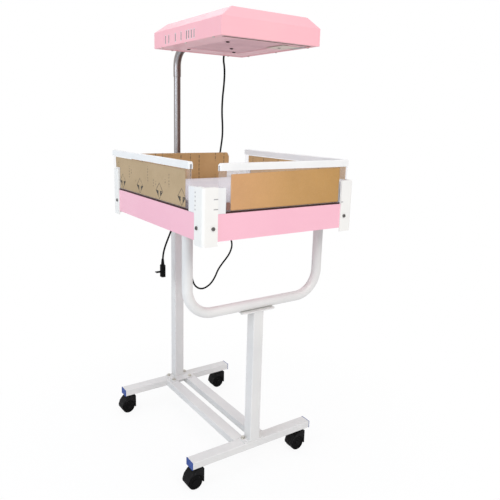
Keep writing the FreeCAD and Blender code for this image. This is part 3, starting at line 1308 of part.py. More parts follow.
# Check and export
doc.recompute()
os.makedirs("parts", exist_ok=True)
faulty = [thing.Name for thing in doc.Objects if "Invalid" in thing.State or "Error" in thing.State]
faulty += [thing.Label for thing in parts if thing.Shape.isNull() or not thing.Shape.isValid()]
if faulty:
    raise RuntimeError(f"not sound: {faulty}")
if len({thing.Label for thing in parts}) != len(parts):
    raise RuntimeError("two sub-parts share a name")
whole = FreeCAD.BoundBox()
for thing in parts:
    thing.Shape.exportStep(f"parts/{thing.Label}.step")
    if thing.Label not in ("supply_cord", "mains_plug"):
        whole.add(thing.Shape.BoundBox)
expected = path.Shape.Length * math.pi * d.CordRad.value ** 2
print(f"{len(parts)} sub-parts")
print(f"X {whole.XMin:.2f} {whole.XMax:.2f}  Y {whole.YMin:.2f} {whole.YMax:.2f}  Z {whole.ZMin:.2f} {whole.ZMax:.2f}")
print(f"cord {path.Shape.Length:.1f} long, volume {cord.Shape.Volume / expected:.4f} of expected, radius {tightest:.1f}")
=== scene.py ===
import math

import bmesh
import bpy
from mathutils import Matrix, Vector, noise


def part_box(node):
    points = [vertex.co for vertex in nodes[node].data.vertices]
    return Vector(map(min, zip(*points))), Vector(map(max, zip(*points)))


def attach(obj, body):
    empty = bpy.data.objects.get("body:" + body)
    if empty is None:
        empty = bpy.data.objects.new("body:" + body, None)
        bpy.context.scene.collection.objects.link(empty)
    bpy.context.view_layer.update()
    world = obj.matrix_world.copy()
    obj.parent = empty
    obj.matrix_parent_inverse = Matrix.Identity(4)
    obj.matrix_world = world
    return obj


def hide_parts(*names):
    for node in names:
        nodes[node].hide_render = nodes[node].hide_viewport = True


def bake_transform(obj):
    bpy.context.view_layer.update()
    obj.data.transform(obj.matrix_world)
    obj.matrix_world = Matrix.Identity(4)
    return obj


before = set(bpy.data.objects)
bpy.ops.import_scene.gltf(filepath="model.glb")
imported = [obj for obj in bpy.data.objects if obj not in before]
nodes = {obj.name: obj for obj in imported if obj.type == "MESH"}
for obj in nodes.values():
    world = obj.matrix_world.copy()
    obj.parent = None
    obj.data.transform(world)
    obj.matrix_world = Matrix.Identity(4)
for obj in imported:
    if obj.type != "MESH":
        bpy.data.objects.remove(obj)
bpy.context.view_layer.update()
scene = bpy.context.scene

MM = 0.001


# Camera at the photograph's place

PHOTO_SIZE = 500  # pixels, both ways
SENSOR = 36  # millimetres, both ways


def place_camera():
    """The camera that was fitted to the photograph; focal length and centre are in its pixels."""
    place = Vector((-0.9708035, -1.5637021, 1.1467783))
    yaw, pitch, roll = 0.5899, 0.2167, 0.0239
    focal, centre_x, centre_y = 545.2287, 239.0836, 240.1737
    forward = Vector((math.sin(yaw) * math.cos(pitch), math.cos(yaw) * math.cos(pitch), -math.sin(pitch)))
    right = Vector((math.cos(yaw), -math.sin(yaw), 0))
    up = right.cross(forward)
    turned_right = right * math.cos(roll) + up * math.sin(roll)
    turned_up = up * math.cos(roll) - right * math.sin(roll)
    data = bpy.data.cameras.new("camera")
    data.sensor_width = SENSOR
    data.sensor_height = SENSOR
    data.sensor_fit = "HORIZONTAL"
    data.lens = focal * SENSOR / PHOTO_SIZE
    data.shift_x = (PHOTO_SIZE / 2 - centre_x) / PHOTO_SIZE
    data.shift_y = (centre_y - PHOTO_SIZE / 2) / PHOTO_SIZE
    data.clip_end = 30
    camera = bpy.data.objects.new("camera", data)
    scene.collection.objects.link(camera)
    turn = Matrix((turned_right, turned_up, -forward)).transposed()
    camera.matrix_world = Matrix.Translation(place) @ turn.to_4x4()
    scene.camera = camera


place_camera()


# Material helpers

class Shader:
    """A principled material with helpers that add procedural detail."""

    def __init__(self, name, color, roughness=0.5, metallic=0.0, **inputs):
        self.material = bpy.data.materials.new(name)
        self.material.use_nodes = True
        self.tree = self.material.node_tree
        self.tree.nodes.clear()
        self.output = self.add("ShaderNodeOutputMaterial")
        self.body = self.add("ShaderNodeBsdfPrincipled")
        self.link(self.body.outputs[0], self.output.inputs[0])
        self.body.inputs["Base Color"].default_value = (*color, 1)
        self.body.inputs["Roughness"].default_value = roughness
        self.body.inputs["Metallic"].default_value = metallic
        for socket, value in inputs.items():
            self.body.inputs[socket.replace("_", " ")].default_value = value
        self.coordinates = None

    def add(self, kind, **properties):
        node = self.tree.nodes.new(kind)
        for key, value in properties.items():
            setattr(node, key, value)
        return node

    def link(self, start, end):
        self.tree.links.new(start, end)

    def where(self, stretch=(1, 1, 1)):
        """Object coordinates, stretched along the axes."""
        if self.coordinates is None:
            self.coordinates = self.add("ShaderNodeTexCoord")
        mapping = self.add("ShaderNodeMapping")
        mapping.inputs["Scale"].default_value = stretch
        self.link(self.coordinates.outputs["Object"], mapping.inputs["Vector"])
        return mapping.outputs[0]

    def noise(self, scale, detail=4, stretch=(1, 1, 1), roughness=0.55):
        node = self.add("ShaderNodeTexNoise")
        node.inputs["Scale"].default_value = scale
        node.inputs["Detail"].default_value = detail
        node.inputs["Roughness"].default_value = roughness
        self.link(self.where(stretch), node.inputs["Vector"])
        return node.outputs["Fac"]

    def ramp(self, value, stops):
        """A colour ramp through (position, colour) stops."""
        node = self.add("ShaderNodeValToRGB")
        elements = node.color_ramp.elements
        while len(elements) < len(stops):
            elements.new(0.5)
        for element, (position, color) in zip(elements, stops):
            element.position = position
            element.color = (*color, 1)
        self.link(value, node.inputs[0])
        return node.outputs[0]

    def scaled(self, value, low, high, start=0.3, end=0.7):
        node = self.add("ShaderNodeMapRange")
        node.inputs["From Min"].default_value = start
        node.inputs["From Max"].default_value = end
        node.inputs["To Min"].default_value = low
        node.inputs["To Max"].default_value = high
        self.link(value, node.inputs["Value"])
        return node.outputs[0]

    def mix(self, factor, first, second, blend="MIX"):
        node = self.add("ShaderNodeMix", data_type="RGBA", blend_type=blend)
        for socket, value in ((0, factor), (6, first), (7, second)):
            if isinstance(value, (int, float)):
                node.inputs[socket].default_value = value
            elif isinstance(value, tuple):
                node.inputs[socket].default_value = (*value, 1)
            else:
                self.link(value, node.inputs[socket])
        return node.outputs[2]

    def math(self, operation, first, second=0.0, third=0.0):
        node = self.add("ShaderNodeMath", operation=operation)
        for socket, value in enumerate((first, second, third)):
            if isinstance(value, (int, float)):
                node.inputs[socket].default_value = value
            else:
                self.link(value, node.inputs[socket])
        return node.outputs[0]

    def axes(self):
        """Object coordinates as three separate values."""
        node = self.add("ShaderNodeSeparateXYZ")
        self.link(self.where(), node.inputs[0])
        return node.outputs

    def color(self, value):
        self.link(value, self.body.inputs["Base Color"])
        return self

    def rough(self, low, high, scale, detail=4, stretch=(1, 1, 1)):
        self.link(self.scaled(self.noise(scale, detail, stretch), low, high), self.body.inputs["Roughness"])
        return self

    def bump(self, height, strength=0.3, distance=0.0004):
        node = self.add("ShaderNodeBump")
        node.inputs["Strength"].default_value = strength
        node.inputs["Distance"].default_value = distance
        self.link(height, node.inputs["Height"])
        self.link(node.outputs[0], self.body.inputs["Normal"])
        return self

    def mottled(self, color, other, scale=8, detail=5, low=0.35, high=0.65):
        """Base colour that wanders between two tones."""
        return self.color(self.ramp(self.noise(scale, detail), ((low, color), (high, other))))


def paint(name, color, shade, gloss=0.34):
    """Powder coat: fine orange peel and a faint change of tone."""
    shader = Shader(name, color, gloss, Coat_Weight=0.15, Coat_Roughness=0.25)
    shader.mottled(color, shade, 5)
    shader.rough(gloss - 0.05, gloss + 0.1, 30)
    shader.bump(shader.noise(900, 2), 0.12, 0.0002)
    return shader.material


def plastic(name, color, shade, roughness=0.45, grain=1400, strength=0.15, shine=0.5):
    """Moulded plastic with a fine grain."""
    shader = Shader(name, color, roughness, Specular_IOR_Level=shine)
    shader.mottled(color, shade, 14)
    shader.rough(roughness - 0.08, roughness + 0.1, 60)
    shader.bump(shader.noise(grain, 3), strength, 0.0002)
    return shader.material


white_paint = paint("white_paint", (0.76, 0.745, 0.72), (0.7, 0.69, 0.675), 0.42)
post_paint = paint("post_paint", (0.86, 0.84, 0.8), (0.82, 0.805, 0.775), 0.42)
frame_paint = paint("frame_paint", (0.5, 0.5, 0.49), (0.43, 0.43, 0.42), 0.5)
pink_paint = paint("pink_paint", (0.9, 0.49, 0.58), (0.88, 0.465, 0.56), 0.42)
lamp_paint = paint("lamp_paint", (0.91, 0.46, 0.5), (0.89, 0.44, 0.49), 0.42)
rose_paint = paint("rose_paint", (0.84, 0.46, 0.5), (0.88, 0.52, 0.56), 0.5)
white_plastic = plastic("white_plastic", (0.84, 0.83, 0.815), (0.8, 0.795, 0.785), 0.42)
grey_plastic = plastic("grey_plastic", (0.4, 0.39, 0.39), (0.33, 0.325, 0.32), 0.5)
beige_plastic = plastic("beige_plastic", (0.76, 0.64, 0.55), (0.7, 0.58, 0.5), 0.5)
blue_plastic = plastic("blue_plastic", (0.012, 0.048, 0.23), (0.02, 0.065, 0.28), 0.5, 1400, 0.15, 0.3)
black_plastic = plastic("black_plastic", (0.0035, 0.0034, 0.0036), (0.008, 0.0078, 0.008), 0.6, 900, 0.3, 0.12)
black_rubber = plastic("black_rubber", (0.003, 0.003, 0.003), (0.006, 0.006, 0.006), 0.7, 1600, 0.2, 0.08)
# This brown serves a scrap of brown film and also the painted shade of the gap beside the light window.
brown_film_and_gap_shade = plastic("brown_film_and_gap_shade", (0.15, 0.065, 0.045), (0.22, 0.1, 0.07), 0.6)
# The dark brown of the seal strips under the panels is partly a rubber seal and partly painted shade of the gap
# there.
seal_and_gap_shade = plastic("seal_and_gap_shade", (0.035, 0.014, 0.013), (0.055, 0.024, 0.02), 0.65, 1600, 0.2, 0.2)


def metal(name, color, shade, roughness, streak=(1, 1, 60), strength=0.1):
    """Bare metal with fine streaks."""
    shader = Shader(name, color, roughness, 1.0)
    shader.mottled(color, shade, 10)
    shader.rough(roughness * 0.7, roughness * 1.5, 40, 4, streak)
    shader.bump(shader.noise(700, 3, streak), strength, 0.0001)
    return shader.material


def chrome_painted_reflection():
    """Chromed tube with a painted reflection: the dark streak that runs along its right half is painted into
    its colour.
    """
    radius = 0.0125
    shader = Shader("chrome", (0.45, 0.43, 0.42), 0.36, 1.0)
    drift = shader.math("MULTIPLY", shader.math("SUBTRACT", shader.noise(9, 3), 0.5), 0.006)
    across = shader.scaled(shader.math("ADD", shader.axes()[0], drift), 0, 1, -radius, radius)
    # Painted reflection: the colour goes dark across the tube's right half and lighter towards its sides, set
    # by place across the tube.
    shader.color(shader.ramp(across, (
        (0.0, (0.3, 0.27, 0.265)), (0.12, (0.4, 0.39, 0.4)), (0.3, (0.35, 0.31, 0.3)),
        (0.42, (0.12, 0.075, 0.065)), (0.72, (0.14, 0.09, 0.08)), (0.92, (0.28, 0.235, 0.22)))))
    shader.rough(0.32, 0.42, 40, 4, (1, 1, 0.05))
    return shader.material


chrome = chrome_painted_reflection()
bolt_steel = metal("bolt_steel", (0.12, 0.115, 0.11), (0.2, 0.19, 0.18), 0.35)
zinc = metal("zinc", (0.5, 0.48, 0.44), (0.62, 0.6, 0.55), 0.35)
aluminium = metal("aluminium", (0.75, 0.75, 0.77), (0.68, 0.68, 0.7), 0.3)


def clear_sheet_material():
    """Clear acrylic under a film of dust, with fine wiping marks in its gloss and pale cut edges."""
    shader = Shader("clear_sheet", (0.86, 0.84, 0.87), 0.12)
    shader.rough(0.08, 0.2, 18, 6, (1, 1, 3))
    through = shader.add("ShaderNodeBsdfTransparent")
    through.inputs[0].default_value = (0.985, 0.985, 0.99, 1)
    facing = shader.add("ShaderNodeSeparateXYZ")
    shader.link(shader.add("ShaderNodeTexCoord").outputs["Normal"], facing.inputs[0])
    edge_slope, edge_share = 0.35, 0.6
    edge = shader.math("GREATER_THAN", shader.math("ABSOLUTE", facing.outputs[2]), edge_slope)
    veil = shader.scaled(shader.noise(7, 5), 0.05, 0.13)
    share = shader.math("MAXIMUM", veil, shader.math("MULTIPLY", edge, edge_share))
    blend = shader.add("ShaderNodeMixShader")
    shader.link(share, blend.inputs[0])
    shader.link(through.outputs[0], blend.inputs[1])
    shader.link(shader.body.outputs[0], blend.inputs[2])
    shader.link(blend.outputs[0], shader.output.inputs[0])
    return shader.material


def frosted_material():
    """Milky pane of the light window."""
    shader = Shader("frosted", (0.84, 0.54, 0.57), 0.65, Transmission_Weight=0.1, IOR=1.45)
    shader.mottled((0.86, 0.54, 0.58), (0.76, 0.46, 0.5), 14)
    shader.bump(shader.noise(1200, 3), 0.2, 0.0002)
    return shader.material


def tube_material():
    """Coated glass of the lamp tubes."""
    shader = Shader("lamp_glass", (0.85, 0.9, 1.0), 0.12)
    shader.mottled((0.82, 0.87, 0.98), (0.88, 0.91, 1.0), 12)
    return shader.material


clear_sheet = clear_sheet_material()
frosted = frosted_material()
lamp_glass = tube_material()


def kraft_base(name, light, dark):
    """Kraft paper: short fibres, soft blotches and faint creases. Gives its colour, still to be linked."""
    shader = Shader(name, light, 0.78)
    blotch = shader.ramp(shader.noise(6, 6), ((0.32, dark), (0.68, light)))
    fibre = shader.ramp(shader.noise(420, 5, (1, 1, 0.5)), (
        (0.4, (0.93, 0.93, 0.93)), (0.62, (1.03, 1.03, 1.03))))
    color = shader.mix(0.5, blotch, fibre, "MULTIPLY")
    shader.rough(0.7, 0.88, 90)
    creases = shader.noise(35, 5, (1, 1, 0.35))
    shader.bump(creases, 0.35, 0.0012)
    return shader, color


def band(shader, value, centre, half):
    """1 where a value lies within half of a centre, else 0."""
    away = shader.math("ABSOLUTE", shader.math("SUBTRACT", value, centre))
    return shader.math("LESS_THAN", away, half)


def repeated(shader, value, step, shift=0.0):
    """The distance of a value from the nearest of many even marks."""
    return shader.math("PINGPONG", shader.math("ADD", value, shift), step / 2)


def kraft_plain():
    """Bare kraft, darker and browner towards its right end."""
    shader, color = kraft_base("kraft_plain", (1, 1, 1), (0.9, 0.9, 0.9))
    left_end, right_end = -0.18, 0.215
    across = shader.scaled(shader.axes()[0], 0, 1, left_end, right_end)
    tone = shader.ramp(across, (
        (0.0, (0.63, 0.34, 0.155)), (0.5, (0.55, 0.305, 0.11)), (1.0, (0.49, 0.27, 0.085))))
    shader.color(shader.mix(1.0, tone, color, "MULTIPLY"))
    return shader.material


def printed(shader, color, marks, ink=(0.035, 0.03, 0.024)):
    """Lays worn dark ink over a colour wherever one of the marks is 1."""
    whole = marks[0]
    for mark in marks[1:]:
        whole = shader.math("MAXIMUM", whole, mark)
    worn = shader.math("GREATER_THAN", shader.noise(300, 3), 0.4)
    shader.color(shader.mix(shader.math("MULTIPLY", whole, worn), color, ink))
    return shader.material


def dash_line(shader, axes, across, place, low, high, step=0.016):
    """An upright row of dashes at one place along a horizontal axis, between two heights."""
    half_wide, gap = 0.0013, 0.0022
    line = band(shader, axes[across], place, half_wide)
    span = band(shader, axes[2], (low + high) / 2, (high - low) / 2)
    dashes = shader.math("GREATER_THAN", repeated(shader, axes[2], step, low), gap)
    return shader.math("MULTIPLY", shader.math("MULTIPLY", line, span), dashes)


def kraft_dashed(name, across, tones, lines):
    """Kraft with upright rows of dark dashes."""
    shader, color = kraft_base(name, *tones)
    axes = shader.axes()
    return printed(shader, color, [dash_line(shader, axes, across, *line) for line in lines])


def kraft_printed():
    """Kraft with four plain diamonds in two tones, and rows of dashes above and between them."""
    shader, color = kraft_base("kraft_printed", (0.49, 0.355, 0.21), (0.42, 0.3, 0.17))
    step, shift, middle = 0.144, 0.36, 0.9335
    half, inner_half, spine_half, lower_top = 0.025, 0.0225, 0.006, 0.001
    axes = shader.axes()
    along = repeated(shader, axes[1], step, shift)
    height = shader.math("SUBTRACT", axes[2], middle)
    reach = shader.math("ADD", along, shader.math("ABSOLUTE", height))
    diamond = shader.math("LESS_THAN", reach, half)
    border = shader.math("GREATER_THAN", reach, inner_half)
    lower = shader.math("LESS_THAN", height, lower_top)
    side = shader.math("GREATER_THAN", along, spine_half)
    filled = shader.math("MAXIMUM", border, shader.math("MULTIPLY", lower, side))
    marks = [shader.math("MULTIPLY", diamond, filled)]
    for place, low, high in ((0.252, 0.972, 0.998), (0.158, 0.95, 0.99), (0.141, 0.962, 0.982),
                             (0.011, 0.948, 1.0), (-0.03, 0.942, 0.966), (-0.048, 0.944, 0.96),
                             (-0.137, 0.952, 0.994), (-0.112, 0.958, 0.972), (0.104, 0.94, 0.95)):
        marks.append(dash_line(shader, axes, 1, place, low, high, 0.009))
    return printed(shader, color, marks)


kraft_front = kraft_plain()
kraft_back = kraft_dashed("kraft_back", 0, ((0.55, 0.33, 0.145), (0.47, 0.275, 0.115)), (
    (-0.165, 0.985, 1.02), (-0.112, 0.99, 1.02), (-0.084, 0.985, 1.02), (-0.008, 0.985, 1.016),
    (0.032, 0.91, 1.016), (0.07, 0.906, 1.014), (0.143, 0.99, 1.02), (0.143, 0.91, 0.935),
    (0.182, 0.975, 1.018)))
kraft_right = kraft_dashed("kraft_right", 1, ((0.6, 0.38, 0.18), (0.52, 0.32, 0.15)), (
    (0.19, 0.985, 1.005), (0.12, 0.99, 1.01), (0.03, 0.985, 1.01), (-0.07, 0.98, 1.01), (-0.19, 0.98, 1.008)))
kraft_left = kraft_printed()


def cloth_cover():
    """Wipe-clean mattress cover with a fine weave."""
    shader = Shader("mattress_cover", (0.64, 0.62, 0.66), 0.6, Sheen_Weight=0.1)
    tone = shader.ramp(shader.noise(9, 5), ((0.35, (0.63, 0.6, 0.645)), (0.65, (0.7, 0.67, 0.7))))
    shader.color(tone)
    first = shader.add("ShaderNodeTexWave", wave_type="BANDS", bands_direction="X")
    second = shader.add("ShaderNodeTexWave", wave_type="BANDS", bands_direction="Y")
    for wave in (first, second):
        wave.inputs["Scale"].default_value = 260
        shader.link(shader.where(), wave.inputs["Vector"])
    weave = shader.math("ADD", first.outputs["Fac"], second.outputs["Fac"])
    shader.bump(weave, 0.15, 0.0003)
    return shader.material


mattress_cover = cloth_cover()


# Materials of the CAD nodes, and softened edges where the real piece has them

FINISH = {
    "front_foot_bar": white_paint, "rear_foot_bar": white_paint, "cross_bar_left": white_paint,
    "cross_bar_right": white_paint, "front_upright": white_paint, "rear_upright": white_paint,
    "u_tube": white_paint, "bracket_spacers": zinc, "deck_frame": frame_paint, "tray_shell": pink_paint,
    "foot_end_caps": blue_plastic, "frame_bolts": zinc, "post_bolts": bolt_steel, "lamp_screws": zinc,
    "caster_stems": zinc, "deck_seals": seal_and_gap_shade, "column_collar": black_plastic,
    "column_guide": black_plastic, "clamp_knob": black_plastic, "column_tube": chrome, "lamp_arm": chrome,
    "lamp_housing": lamp_paint, "lamp_base_panel": rose_paint, "light_window": frosted,
    "lamp_tubes": lamp_glass, "tube_holders": white_plastic, "reflector": aluminium,
    "lamp_driver": black_plastic, "arm_clamp": aluminium, "cord_gland": black_plastic,
}
for word in ("front_left", "front_right", "rear_left", "rear_right"):
    FINISH[f"post_{word}"] = post_paint
    FINISH[f"caster_{word}"] = black_plastic
    FINISH[f"wheels_{word}"] = black_rubber
for word in ("front", "left", "right"):
    FINISH[f"{word}_rail"] = white_plastic
for word in ("front", "back", "left", "right"):
    FINISH[f"{word}_blocks"] = white_plastic
    FINISH[f"{word}_sheet"] = clear_sheet

SOFT_EDGES = {
    "tray_shell": 0.6, "lamp_housing": 0.8, "front_blocks": 1.2, "back_blocks": 1.2, "left_blocks": 1.2,
    "right_blocks": 1.2, "post_front_left": 0.7, "post_front_right": 0.7, "post_rear_left": 0.7,
    "post_rear_right": 0.7, "front_rail": 2.0, "left_rail": 2.0, "right_rail": 2.0,
    "foot_end_caps": 0.9, "caster_front_left": 1.6, "caster_front_right": 1.6, "caster_rear_left": 1.6,
    "caster_rear_right": 1.6, "clamp_knob": 1.0, "column_collar": 0.8, "post_bolts": 0.9, "deck_seals": 0.8,
    "front_upright": 0.5, "rear_upright": 0.5, "lamp_screws": 0.4, "frame_bolts": 0.4,
}


def soften(thing, width, segments=2):
    """Rounds the sharp edges of an object by a width in millimetres."""
    bevel = thing.modifiers.new("edges", "BEVEL")
    bevel.width = width * MM
    bevel.segments = segments
    bevel.limit_method = "ANGLE"
    bevel.angle_limit = math.radians(50)
    bevel.use_clamp_overlap = True
    bevel.harden_normals = False


def dress(thing, material):
    """Gives every face of an object one material."""
    if thing.material_slots:
        for slot in thing.material_slots:
            slot.material = material
    else:
        thing.data.materials.append(material)


for name, material in FINISH.items():
    dress(nodes[name], material)
for name, width in SOFT_EDGES.items():
    soften(nodes[name], width)


# Mesh helpers

def link_object(name, data, material, body):
    """Adds an object with a material; it rides on a body if one is given."""
    thing = bpy.data.objects.new(name, data)
    scene.collection.objects.link(thing)
    data.materials.append(material)
    if body:
        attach(thing, body)
    return thing


def mesh_from(make, name, smooth=True):
    """A mesh filled by a function that is given a bmesh."""
    shape = bmesh.new()
    make(shape)
    bmesh.ops.recalc_face_normals(shape, faces=shape.faces)
    data = bpy.data.meshes.new(name)
    shape.to_mesh(data)
    shape.free()
    if smooth:
        for face in data.polygons:
            face.use_smooth = True
    return data


def tube_mesh(name, points, radius, sides=14, caps=True):
    """A round tube along points, with parallel rings."""
    points = [Vector(point) for point in points]

    def make(shape):
        rings = []
        side = None
        for index, point in enumerate(points):
            ahead = points[min(index + 1, len(points) - 1)] - points[max(index - 1, 0)]
            ahead.normalize()
            if side is None:
                side = ahead.orthogonal().normalized()
            side = (side - ahead * side.dot(ahead)).normalized()
            other = ahead.cross(side)
            reach = radius(index / (len(points) - 1)) if callable(radius) else radius
            ring = []
            for step in range(sides):
                angle = 2 * math.pi * step / sides
                offset = side * math.cos(angle) + other * math.sin(angle)
                ring.append(shape.verts.new(point + offset * reach))
            rings.append(ring)
        for first, second in zip(rings, rings[1:]):
            for step in range(sides):
                after = (step + 1) % sides
                shape.faces.new((first[step], first[after], second[after], second[step]))
        if caps:
            shape.faces.new(list(reversed(rings[0])))
            shape.faces.new(rings[-1])

    return mesh_from(make, name)


def plates(name, boxes, material, body, round_off=0.0):
    """One object made of thin plates, each given by its lowest and highest corner in millimetres."""
    def make(shape):
        for low, high in boxes:
            corners = [shape.verts.new([(low, high)[pick >> axis & 1][axis] * MM for axis in range(3)])
                       for pick in range(8)]
            for face in ((0, 2, 3, 1), (4, 5, 7, 6), (0, 1, 5, 4), (2, 6, 7, 3), (0, 4, 6, 2), (1, 3, 7, 5)):
                shape.faces.new([corners[index] for index in face])

    thing = link_object(name, mesh_from(make, name, smooth=False), material, body)
    if round_off:
        soften(thing, round_off)


# Supply cord, from the lamp head to the plug

CORD_WIDE = 0.007
CORD = (
    (0.125, 0.1441, 1.39), (0.1252, 0.1921, 1.3899), (0.13, 0.2141, 1.366), (0.138, 0.2146, 1.329),
    (0.1407, 0.2211, 1.28), (0.141, 0.2321, 1.226), (0.149, 0.2475, 1.172), (0.17, 0.275, 1.128),
    (0.183, 0.295, 1.085), (0.1795, 0.3, 1.04), (0.17, 0.299, 0.985), (0.165, 0.2975, 0.925),
    (0.172, 0.2962, 0.86), (0.187, 0.2962, 0.79), (0.206, 0.2962, 0.73), (0.225, 0.2962, 0.68),
    (0.2425, 0.2962, 0.64), (0.228, 0.2962, 0.6), (0.199, 0.2962, 0.57), (0.173, 0.2962, 0.541),
    (0.157, 0.2962, 0.506), (0.133, 0.2962, 0.478), (0.095, 0.2962, 0.465), (0.063, 0.2962, 0.484),
    (0.049, 0.2962, 0.522), (0.042, 0.2962, 0.572), (0.0405, 0.2962, 0.64), (0.0415, 0.2962, 0.715),
    (0.047, 0.2962, 0.785), (0.057, 0.2962, 0.848), (0.053, 0.2962, 0.895), (0.025, 0.2962, 0.925),
    (-0.011, 0.2962, 0.925), (-0.039, 0.2962, 0.895), (-0.042, 0.2962, 0.85), (-0.033, 0.2962, 0.795),
    (-0.034, 0.2962, 0.743), (-0.053, 0.2962, 0.7), (-0.069, 0.2962, 0.664), (-0.079, 0.2962, 0.627),
    (-0.079, 0.2962, 0.592),
)


def smooth_route(points):
    """Points along a smooth line that the given points steer."""
    data = bpy.data.curves.new("route", "CURVE")
    data.dimensions = "3D"
    spline = data.splines.new("NURBS")
    spline.points.add(len(points) - 1)
    for target, point in zip(spline.points, points):
        target.co = (*point, 1)
    spline.order_u = 3
    spline.use_endpoint_u = True
    spline.resolution_u = 8
    thing = bpy.data.objects.new("route", data)
    scene.collection.objects.link(thing)
    bpy.context.view_layer.update()
    line = bpy.data.meshes.new_from_object(thing.evaluated_get(bpy.context.evaluated_depsgraph_get()))
    route = [vertex.co.copy() for vertex in line.vertices]
    bpy.data.objects.remove(thing)
    bpy.data.meshes.remove(line)
    return route


def supply_cord():
    """The cord's skin: a tube along a smooth route between the stand and the lamp."""
    route = smooth_route(CORD)
    data = tube_mesh("supply_cord_skin", route, CORD_WIDE / 2)
    cord = link_object("supply_cord_skin", data, black_rubber, None)
    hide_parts("supply_cord")
    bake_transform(cord)


def gland():
    """Hex nut on the lamp's rear wall, and the ribbed, tapered relief round the cord's first stretch."""
    relief_long, rear_wall, corners = 0.034, 0.1526, 6
    route = smooth_route(CORD)
    start = route[0]
    far = next(index for index, point in enumerate(route) if (point - start).length > relief_long)
    sleeve = tube_mesh("cord_relief", route[:far + 1],
                       lambda share: 0.0078 - 0.003 * share + 0.0003 * math.sin(share * 40), 20)
    relief = link_object("cord_relief", sleeve, black_plastic, "lamp")
    low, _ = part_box("cord_gland")
    front = max(low[1], rear_wall)

    def make(shape):
        rings = []
        for depth, reach in ((0, 0.0098), (0.0008, 0.0104), (0.0062, 0.0104), (0.007, 0.0094)):
            angles = [math.radians(60 * step + 30) for step in range(corners)]
            rings.append([shape.verts.new((start.x + reach * math.cos(angle), front + depth,
                                           start.z + reach * math.sin(angle))) for angle in angles])
        for first, second in zip(rings, rings[1:]):
            for step in range(corners):
                after = (step + 1) % corners
                shape.faces.new((first[step], first[after], second[after], second[step]))
        shape.faces.new(rings[0])
        shape.faces.new(rings[-1])

    link_object("gland_nut", mesh_from(make, "gland_nut", False), black_plastic, "lamp")
    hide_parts("cord_gland")


dress(nodes["mains_plug"], black_rubber)
supply_cord()
gland()


# Mattress: a padded form blown up a little by cloth pressure, with two piped seams round its rim

PAD_INSET = 0.003
PAD_VOXEL = 0.006
PAD_FRAMES = 20
PAD_SWELL = 0.004  # the most that the pressure may move a point
PAD_WAVE = 0.0022
RIM_DROP = 0.004
RIM_WIDE = 0.008
PIPING_RADIUS = 0.0016


def rounded_outline(half_x, half_y, radius, steps=8):
    """Points round a rectangle with round corners."""
    points = []
    for side_x, side_y, start in ((1, 1, 0), (-1, 1, 90), (-1, -1, 180), (1, -1, 270)):
        for step in range(steps + 1):
            angle = math.radians(start + 90 * step / steps)
            points.append((side_x * (half_x - radius) + radius * math.cos(angle),
                           side_y * (half_y - radius) + radius * math.sin(angle)))
    return points


def slab(half_x, half_y, radius, low, high, middle):
    """Fills a bmesh with a flat block that has round corners."""
    outline = rounded_outline(half_x, half_y, radius)

    def make(shape):
        lower = [shape.verts.new((x + middle[0], y + middle[1], low)) for x, y in outline]
        upper = [shape.verts.new((x + middle[0], y + middle[1], high)) for x, y in outline]
        shape.faces.new(list(reversed(lower)))
        shape.faces.new(upper)
        for index in range(len(outline)):
            after = (index + 1) % len(outline)
            shape.faces.new((lower[index], lower[after], upper[after], upper[index]))

    return make


def bake(thing):
    """Puts the result of an object's modifiers into its mesh."""
    bpy.context.view_layer.update()
    graph = bpy.context.evaluated_depsgraph_get()
    data = bpy.data.meshes.new_from_object(thing.evaluated_get(graph))
    thing.modifiers.clear()
    old = thing.data
    thing.data = data
    bpy.data.meshes.remove(old)


